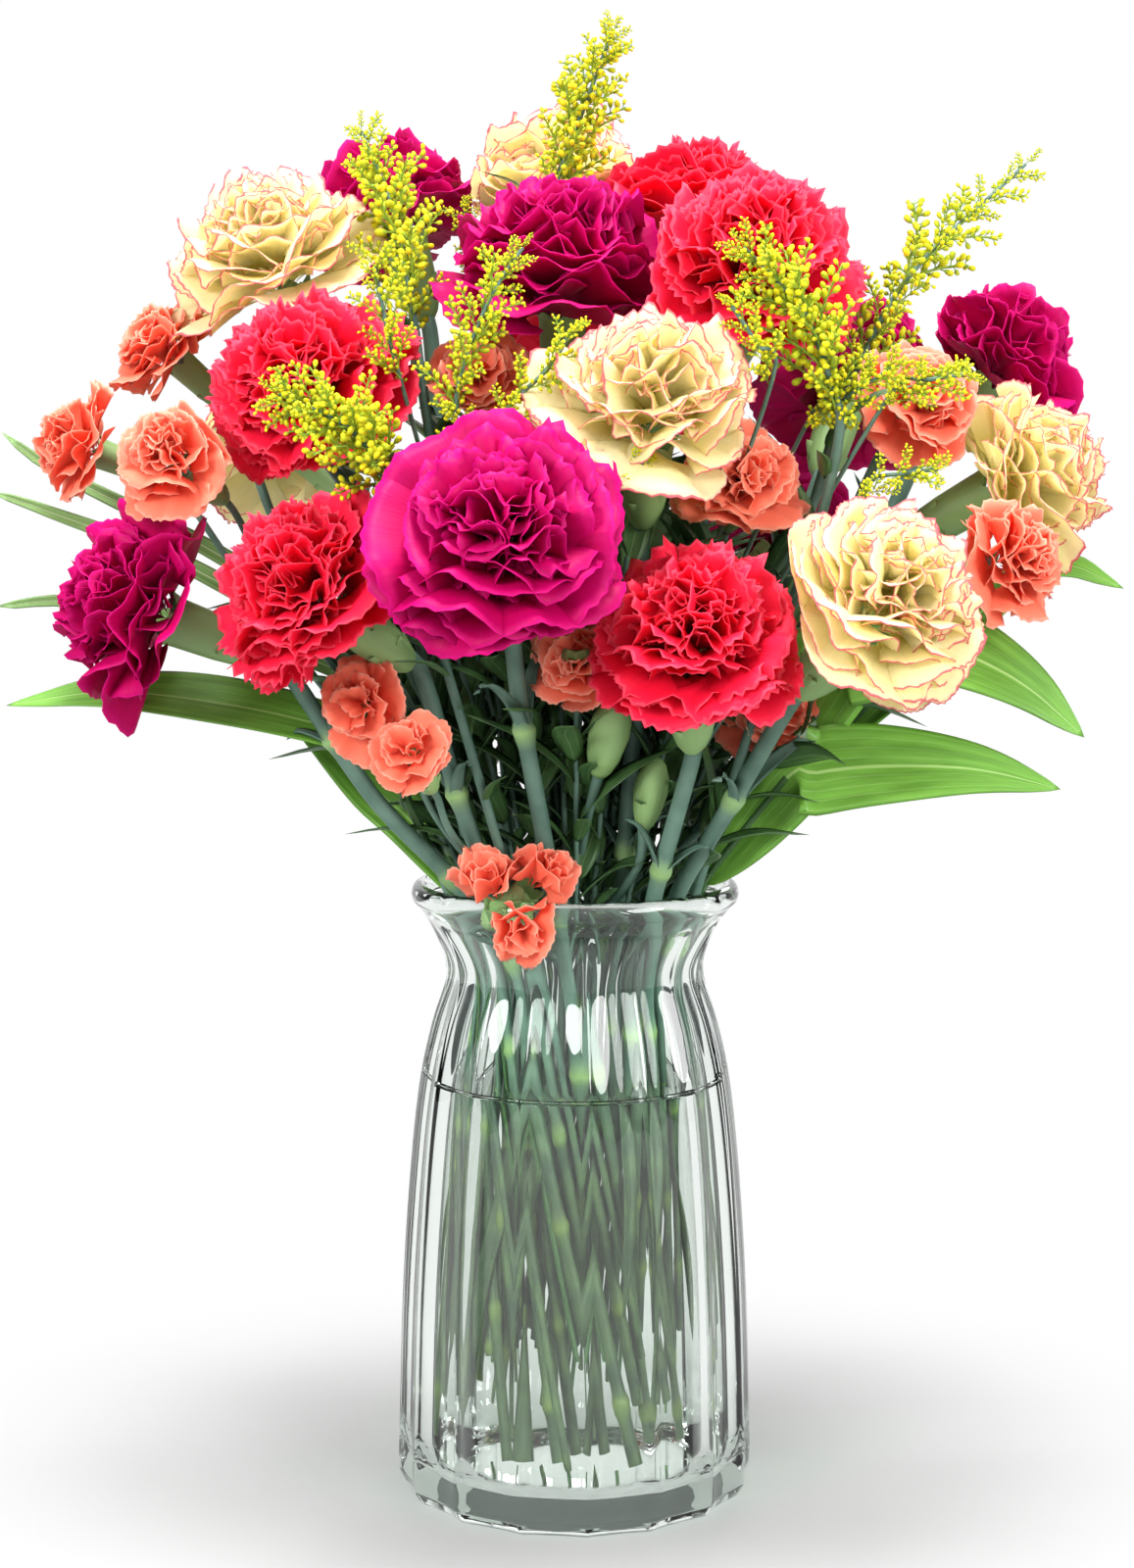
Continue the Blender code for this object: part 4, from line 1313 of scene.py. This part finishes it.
# %% The tree that sets them
def setting_tree():
    """Sets the members of a collection along a line, each turned round it from the last."""
    tree = Tree("set_along_a_line")
    members, kinds, count = tree.ask(Members="Collection", Kinds=3, Count=24)
    lift, spin_step, uneven = tree.ask(Lift=0.5, Spin=GOLDEN_ANGLE, Uneven=0.2)
    seed, material = tree.ask(Seed=0, Material="Material")
    curve = tree.smooth_curve()
    points = tree.out("GeometryNodeResampleCurve", {"mode": "COUNT"}, Curve=curve, Count=count)
    index = tree.out("GeometryNodeInputIndex")
    tangent = tree.out("GeometryNodeInputTangent")
    facing = tree.out("FunctionNodeAlignRotationToVector", {"axis": "Z"}, Vector=tangent)
    spin = tree.times_plus(index, spin_step, tree.random(-0.35, 0.35, seed, 1))
    rise = tree.times_plus(tree.random(-0.5, 0.5, seed, 2), uneven, lift)
    turn = facing
    for angles in (tree.vector(z=spin), tree.vector(x=rise)):
        by = tree.out("FunctionNodeEulerToRotation", Euler=angles)
        settings = {"rotation_space": "LOCAL"}
        turn = tree.out("FunctionNodeRotateRotation", settings, Rotation=turn, Rotate_By=by)
    stretch = tree.times_plus(tree.random(-1.0, 1.0, seed, 3), uneven, 1.0)
    size = tree.times(tree.number("size"), stretch)
    kind = tree.math("MODULO", tree.math("ADD", tree.times(index, 2.0), seed), kinds)
    put = tree.instances(points, members, turn, tree.vector(size, size, size), kind)
    return tree.finish(put, material)


setting = setting_tree()


def plume(name, line, reach, count, seed):
    """Sprigs along a line of points. Reach is the length of a sprig at each point."""
    path = outline_mesh(name, line, size=[length / SPRIG_LENGTH for length in reach])
    return grow(
        name, setting, path, Members=sprigs, Kinds=SPRIG_KINDS, Count=count, Lift=0.75,
        Spin=GOLDEN_ANGLE, Uneven=0.22, Seed=seed, Material=finishes["goldenrod"],
    )


print("setting tree:", len(setting.nodes), "nodes")

# %% Tall goldenrod
GOLD_REACH = 2.6  # a sprig's reach over the plain plume's radius
PLUME_RADII = (0.0075, 0.0085, 0.0085, 0.0080, 0.0065, 0.0048, 0.0030)
PLUME_SPRIGS = 26
STALK_LEAVES = 6
STALK_RADIUS = 0.0011
STALK_TAPER = 0.00012


def stalk_leaves(low, high, rng):
    """Narrow leaves set round a stalk by the golden angle."""
    up = (high - low).normalized()
    made = []
    for leaf in range(STALK_LEAVES):
        at = low.lerp(high, leaf / (STALK_LEAVES - 1))
        out = turn_to(high - low, leaf * GOLDEN_ANGLE).to_3x3() @ Vector((1, 0, 0))
        length = rng.uniform(0.018, 0.030)
        midrib = [
            at, at + out * length * 0.35 + up * length * 0.35,
            at + out * length * 0.8 + up * length * 0.55,
        ]
        made.append(blade("lance", midrib, 0.0026, up - out * 0.4, "lance", rows=8))
    return made


plume_faces = 0
for number, node in enumerate([name for name in names if name.startswith("goldenrod_")]):
    rings = [middle_and_radius(ring) for ring in rings_of(node)]
    stalk, plume_rings = rings[:-6], rings[-len(PLUME_RADII) :]
    line = [point for point, _ in plume_rings]
    reach = [GOLD_REACH * radius for radius in PLUME_RADII]
    flowers = plume(f"{node}_plume", line, reach, PLUME_SPRIGS, number * 3 + 1)
    finish_piece(flowers, "goldenrod_florets", node)
    way = [*stalk, *[(point, STALK_RADIUS - STALK_TAPER * k) for k, point in enumerate(line[1:])]]
    parts = [twig_piece(way, name=f"{node}_stalk")]
    parts += stalk_leaves(Vector(stalk[-4][0]), Vector(line[0]), np.random.default_rng(number + 9))
    finish_piece(joined(f"{node}_stalk", parts), "leaf_green")
    plume_faces += len(flowers.data.polygons)
print("plumes:", plume_faces, "faces")

# %% [markdown]
# ## Broad leaves
# These are smooth, leathery and pointed at both ends, with long veins that run with the edge.
# Midrib, width and the way they look come from the plain leaf. The finished blade adds the
# fold, the wave and the veins.

# %% Broad leaves
LEAF_FULLNESS = 1.22  # of the plain leaf's half width
STALK_WIDTH = 0.0014  # a ring narrower than this is still the leaf's stalk
LEAF_STALK = 0.0013

broad_leaves = [name for name in names if name.startswith("broad_leaf_")]
for node in broad_leaves:
    rings = rings_of(node)
    points = [middle_and_radius(ring)[0] for ring in rings]
    spans = [np.linalg.norm(ring[:, None] - ring[None], axis=2) for ring in rings]
    wide = [span.max() / 2 for span in spans]
    foot = max(k for k in range(len(wide) - 2) if wide[k] < STALK_WIDTH)
    peak = int(np.argmax(wide))
    a, b = np.unravel_index(spans[peak].argmax(), spans[peak].shape)
    along = points[peak + 1] - points[peak - 1]
    look = Vector(rings[peak][a] - rings[peak][b]).cross(along).normalized()
    look = -look if look.y > 0 else look
    flat = blade(
        f"{node}_blade", points[foot:], max(wide) * LEAF_FULLNESS, look, "leaf", 0.0007, 0.80,
        0.80, fold=0.16, wave=0.05, across=17, rows=44, foot=0.06,
    )
    stalk = twig_piece([(point, LEAF_STALK) for point in points[: foot + 2]], finish="lance")
    finish_piece(joined(f"{node}_whole", [flat, stalk]), "leaf_green", node)
print("broad leaves:", len(broad_leaves))

# %% [markdown]
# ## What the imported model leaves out
# The model holds sixty solids, so the smallest things in the bunch are only here: grass blades,
# a few small coral heads and buds, short sprigs of goldenrod and the dark foliage that fills
# the space between the stems. Each one starts from inside the neck of the vase.

# %% Grass and a low leaf
def mm(*values):
    return Vector(values) / 1000


NECK = mm(-4, 6, 172)
grass_ways = [
    [mm(-22, 4, 176), mm(-60, 30, 262), mm(-112, 34, 300), mm(-168, 28, 330), mm(-186, 26, 343)],
    [mm(-24, 0, 176), mm(-64, 22, 256), mm(-118, 20, 296), mm(-170, 12, 318), mm(-187, 8, 324)],
    [mm(-20, 8, 176), mm(-58, 36, 250), mm(-110, 30, 276), mm(-160, 20, 288), mm(-187, 14, 287)],
    [mm(22, 10, 176), mm(60, 34, 262), mm(100, 44, 300), mm(132, 48, 322)],
]
blades = []
for way in grass_ways:
    blades.append(blade(
        "grass", way, 0.0036, (0.1, -0.8, 0.6), "grass", 0.0004, 0.35, 0.8, fold=0.35,
        across=7, rows=36, foot=0.5, twist=0.5,
    ))
finish_piece(joined("grass_blades", blades), "leaf_green")
low_way = [mm(-20, -2, 178), mm(-50, 12, 214), mm(-66, 17, 228), mm(-80, 18, 240), mm(-93, 16, 250)]
low_leaf = blade(
    "low_leaves", low_way, 0.0105, (0.3, -0.85, 0.3), "leaf", 0.0006, 0.9, 1.1, fold=0.2,
    wave=0.05, across=13, rows=30, foot=0.1,
)
finish_piece(low_leaf, "leaf_green")
print("grass blades:", len(blades))

# %% Small coral heads
SMALL_CALYX = (0.018, 0.0042, 0.0012, 0.0028)  # length, mouth, foot and tooth
HALF_OPEN = 15  # heads with fewer petals than this are still half shut
SMALL_TWIG = 0.0011


class SmallHead:
    """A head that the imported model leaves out: its mouth, its way and its size."""

    def __init__(self, mouth, facing, width, height):
        self.mouth = mouth
        self.facing = Vector(facing).normalized()
        self.place = Matrix.Translation(mouth) @ turn_to(self.facing)
        self.radius = width / 2
        self.height = height
        self.mouth_radius = 0.0040
        self.centre = self.mouth + self.facing * height * 0.5


# mouth, facing, width, height, then the bend in its twig and its count of petals
small = [
    (mm(-30, 2, 357), (-0.1, -0.7, 0.6), 0.028, 0.018, mm(-18, 12, 330), 22),
    (mm(-48, -76, 247), (-0.25, -0.8, 0.55), 0.022, 0.015, mm(-36, -44, 218), 16),
    (mm(-24, -44, 200), (-0.35, -0.35, 0.8), 0.021, 0.020, mm(-12, -26, 182), 11),
    (mm(-14, -44, 204), (0.65, -0.4, 0.6), 0.017, 0.018, mm(-8, -28, 182), 9),
    (mm(-17, -48, 196), (0.05, -0.8, -0.25), 0.019, 0.018, mm(-10, -28, 184), 9),
    (mm(62, -16, 254), (0.1, -0.8, 0.35), 0.027, 0.018, mm(44, 4, 222), 20),
    (mm(-62, -52, 262), (-0.3, -0.8, 0.1), 0.026, 0.016, mm(-44, -34, 226), 18),
]
for number, (mouth, facing, width, height, elbow, count) in enumerate(small, start=1):
    head = SmallHead(mouth, facing, width, height)
    made = dress_bloom(
        f"small_coral_{number}_petals", head, "coral", 60 + number, [], Count=count,
        Inner_Tilt=0.05, Outer_Tilt=0.55 if count < HALF_OPEN else 1.45,
    )
    finish_piece(made, "coral_petals")
    foot = head.mouth - head.facing * SMALL_CALYX[0]
    before_foot = foot - head.facing * 0.008
    bends = [NECK.lerp(elbow, 0.15), elbow, before_foot]
    way = [*[(point, SMALL_TWIG) for point in bends], (foot, SMALL_CALYX[2])]
    parts = [twig_piece(way, step=0.004), *cup_and_scales(*SMALL_CALYX, head.place)]
    finish_piece(joined(f"small_coral_{number}_greens", parts), "carnation_green")
print("small heads:", len(small))

# %% Closed buds
def bud_piece(name, foot, tip, radius):
    """A bud that is still shut: its calyx closes over the petals in a blunt point."""
    turn = np.linspace(0, 2 * math.pi, CALYX_COLUMNS, endpoint=False)
    ribs = 1 + 0.04 * np.cos(4 * TEETH * turn)
    length = (tip - foot).length
    outline = [
        (0.0, 0.0), (0.34, 0.01), (0.56, 0.08), (0.82, 0.25), (1.0, 0.52), (0.93, 0.72),
        (0.62, 0.90), (0.30, 0.98), (0.0, 1.0),
    ]
    rows = []
    for share, height in outline:
        wide = radius * share * ribs
        level = length * height + 0 * turn
        rows.append(np.stack([wide * np.cos(turn), wide * np.sin(turn), level], axis=1))
    place = Matrix.Translation(foot) @ turn_to((tip - foot).normalized())
    return paled(closed_piece(name, np.array(rows), "stem", place))


buds = [
    (mm(7, -40, 238), mm(13, -49, 264), 0.0062),
    (mm(21, -34, 221), mm(25, -40, 244), 0.0052),
    (mm(100, -34, 287), mm(111, -42, 309), 0.0058),
]
shut = []
for foot, tip, radius in buds:
    below = foot - (tip - foot) * 0.6
    way = [(NECK.lerp(below, 0.2), 0.0013), (below, 0.0014), (foot, 0.0019)]
    shut += [twig_piece(way, step=0.004), bud_piece("bud", foot, tip, radius)]
finish_piece(joined("closed_buds", shut), "carnation_green")
print("buds:", len(buds))

# %% Short goldenrod sprigs
# the stalk's points, the reach of a sprig at each and the count of sprigs
short_plumes = [
    (
        [mm(-30, -44, 338), mm(-36, -52, 352), mm(-27, -50, 380), mm(-16, -42, 398)],
        (0.010, 0.016, 0.015, 0.006), 26,
    ),
    ([mm(-22, 40, 384), mm(-30, 36, 400), mm(-36, 34, 414)], (0.010, 0.012, 0.006), 14),
    (
        [mm(-24, -50, 336), mm(-20, -58, 350), mm(-8, -60, 362), mm(-2, -58, 372)],
        (0.010, 0.014, 0.013, 0.008), 14,
    ),
    ([mm(-52, -44, 356), mm(-56, -50, 372), mm(-60, -50, 392)], (0.012, 0.015, 0.009), 12),
    ([mm(58, -52, 356), mm(54, -60, 368), mm(46, -62, 380)], (0.010, 0.012, 0.007), 10),
    ([mm(6, -66, 322), mm(12, -74, 330), mm(20, -76, 334)], (0.008, 0.010, 0.005), 9),
    ([mm(70, -46, 296), mm(72, -58, 304), mm(74, -64, 314)], (0.008, 0.011, 0.006), 11),
    ([mm(70, -30, 344), mm(80, -42, 352), mm(94, -52, 362)], (0.012, 0.015, 0.010), 16),
    ([mm(92, -44, 350), mm(104, -54, 358), mm(116, -54, 360)], (0.010, 0.013, 0.006), 14),
    ([mm(84, -48, 322), mm(96, -56, 330), mm(108, -56, 332)], (0.009, 0.011, 0.006), 12),
]
flowers = []
twigs = []
for number, (line, reach, count) in enumerate(short_plumes):
    flowers.append(plume(f"short_{number}", line, reach, count, number + 30))
    way = [(NECK.lerp(line[0], 0.45), 0.0008), *[(point, 0.0007) for point in line]]
    twigs.append(twig_piece(way, sides=6))
finish_piece(joined("short_goldenrod", flowers), "goldenrod_florets")
finish_piece(joined("short_goldenrod_twigs", twigs), "leaf_green")
print("short sprigs:", len(short_plumes))

# %% [markdown]
# ## Filler between the stems
# Leafy twigs stand among the carnation stems and show as dark narrow leaves. The setting tree
# places lance leaves in opposite pairs up each twig.

# %% Filler twigs
LANCE_KINDS = 3
TWIGS = 40
FILLER_FOOT = 0.178
FILLER_TOP = 0.362
FILLER_DROP = 0.075  # how much lower the outermost twig ends
FILLER_NECK = 0.026
FILLER_REACH = 0.098

lances = []
for number in range(LANCE_KINDS):
    bend = 0.003 * (number - 1)
    way = [(0, 0, 0), (bend, 0.011, 0.001), (2 * bend, 0.024, -0.0005), (1.5 * bend, 0.038, -0.007)]
    midrib = [Vector(point) for point in way]
    lances.append(blade("lance", midrib, 0.0040 + 0.0006 * number, (0, 0, 1), "lance", rows=9))
lance_kinds = library("lance_kinds", lances)
rng = np.random.default_rng(8)
leafy, stalks = [], []
for number in range(TWIGS):
    turn = number * GOLDEN_ANGLE
    out = math.sqrt((number + 0.5) / TWIGS)
    inner = FILLER_NECK * out
    low = Vector((inner * math.cos(turn), inner * math.sin(turn), FILLER_FOOT))
    reach = FILLER_REACH * out * rng.uniform(0.8, 1.0)
    top = FILLER_TOP - FILLER_DROP * out**2 - rng.uniform(0, 0.04)
    high = Vector((reach * math.cos(turn), 0.8 * reach * math.sin(turn) + 0.012, top))
    line = [low, low.lerp(high, 0.5) + Vector((0, 0, 0.010)), high]
    path = outline_mesh("twig", line, size=[0.35, 1.0, 0.8])
    leafy.append(grow(
        "leafy", setting, path, Members=lance_kinds, Kinds=LANCE_KINDS, Count=18, Lift=0.85,
        Spin=math.pi * 0.5, Uneven=0.3, Seed=number, Material=finishes["lance"],
    ))
    stalks.append(twig_piece([(point, 0.0009) for point in line], sides=6, step=0.006))
finish_piece(joined("filler_leaves", leafy), "leaf_green")
finish_piece(joined("filler_twigs", stalks), "leaf_green")
print("filler twigs:", len(stalks))

# %% [markdown]
# ## Leaves under the water
# A few broad bare leaves still cling to the cut stems inside the vase. They hang between the
# stems, well clear of the glass, from just above the water to halfway down.

# %% Sunken leaves
SUNKEN = 7
SUNKEN_RING = 0.034
SUNKEN_SWAY = 0.006

clinging = []
for number in range(SUNKEN):
    turn = number * GOLDEN_ANGLE + 0.5
    out = Vector((math.cos(turn), math.sin(turn), 0))
    side = Vector((-math.sin(turn), math.cos(turn), 0))
    starts = Vector((0, 0, WATER_TOP + 0.012 - 0.004 * (number % 3)))
    ends = Vector((0, 0, 0.048 + 0.009 * (number % 4)))
    top = out * 0.42 * SUNKEN_RING + side * SUNKEN_SWAY + starts
    tip = out * SUNKEN_RING - side * SUNKEN_SWAY + ends
    way = [top, top.lerp(tip, 0.35) + side * 0.003, top.lerp(tip, 0.7) + out * 0.003, tip]
    clinging.append(blade(
        "sunken", way, 0.0052, out, "stem", 0.0006, 0.6, 0.8, fold=0.35, wave=0.04, across=7,
        rows=20, foot=0.5, twist=0.5,
    ))
finish_piece(joined("sunken_leaves", clinging), "carnation_green")
print("sunken leaves:", len(clinging))

# %% [markdown]
# ## The record of its size
# The finished piece and the imported model each fill a box. Both boxes are printed,
# so they can be compared.

# %% Size
full_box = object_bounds()
boxes = {"cad": cad_box, "visual": full_box}
for label, box in boxes.items():
    print(label, in_mm(box))
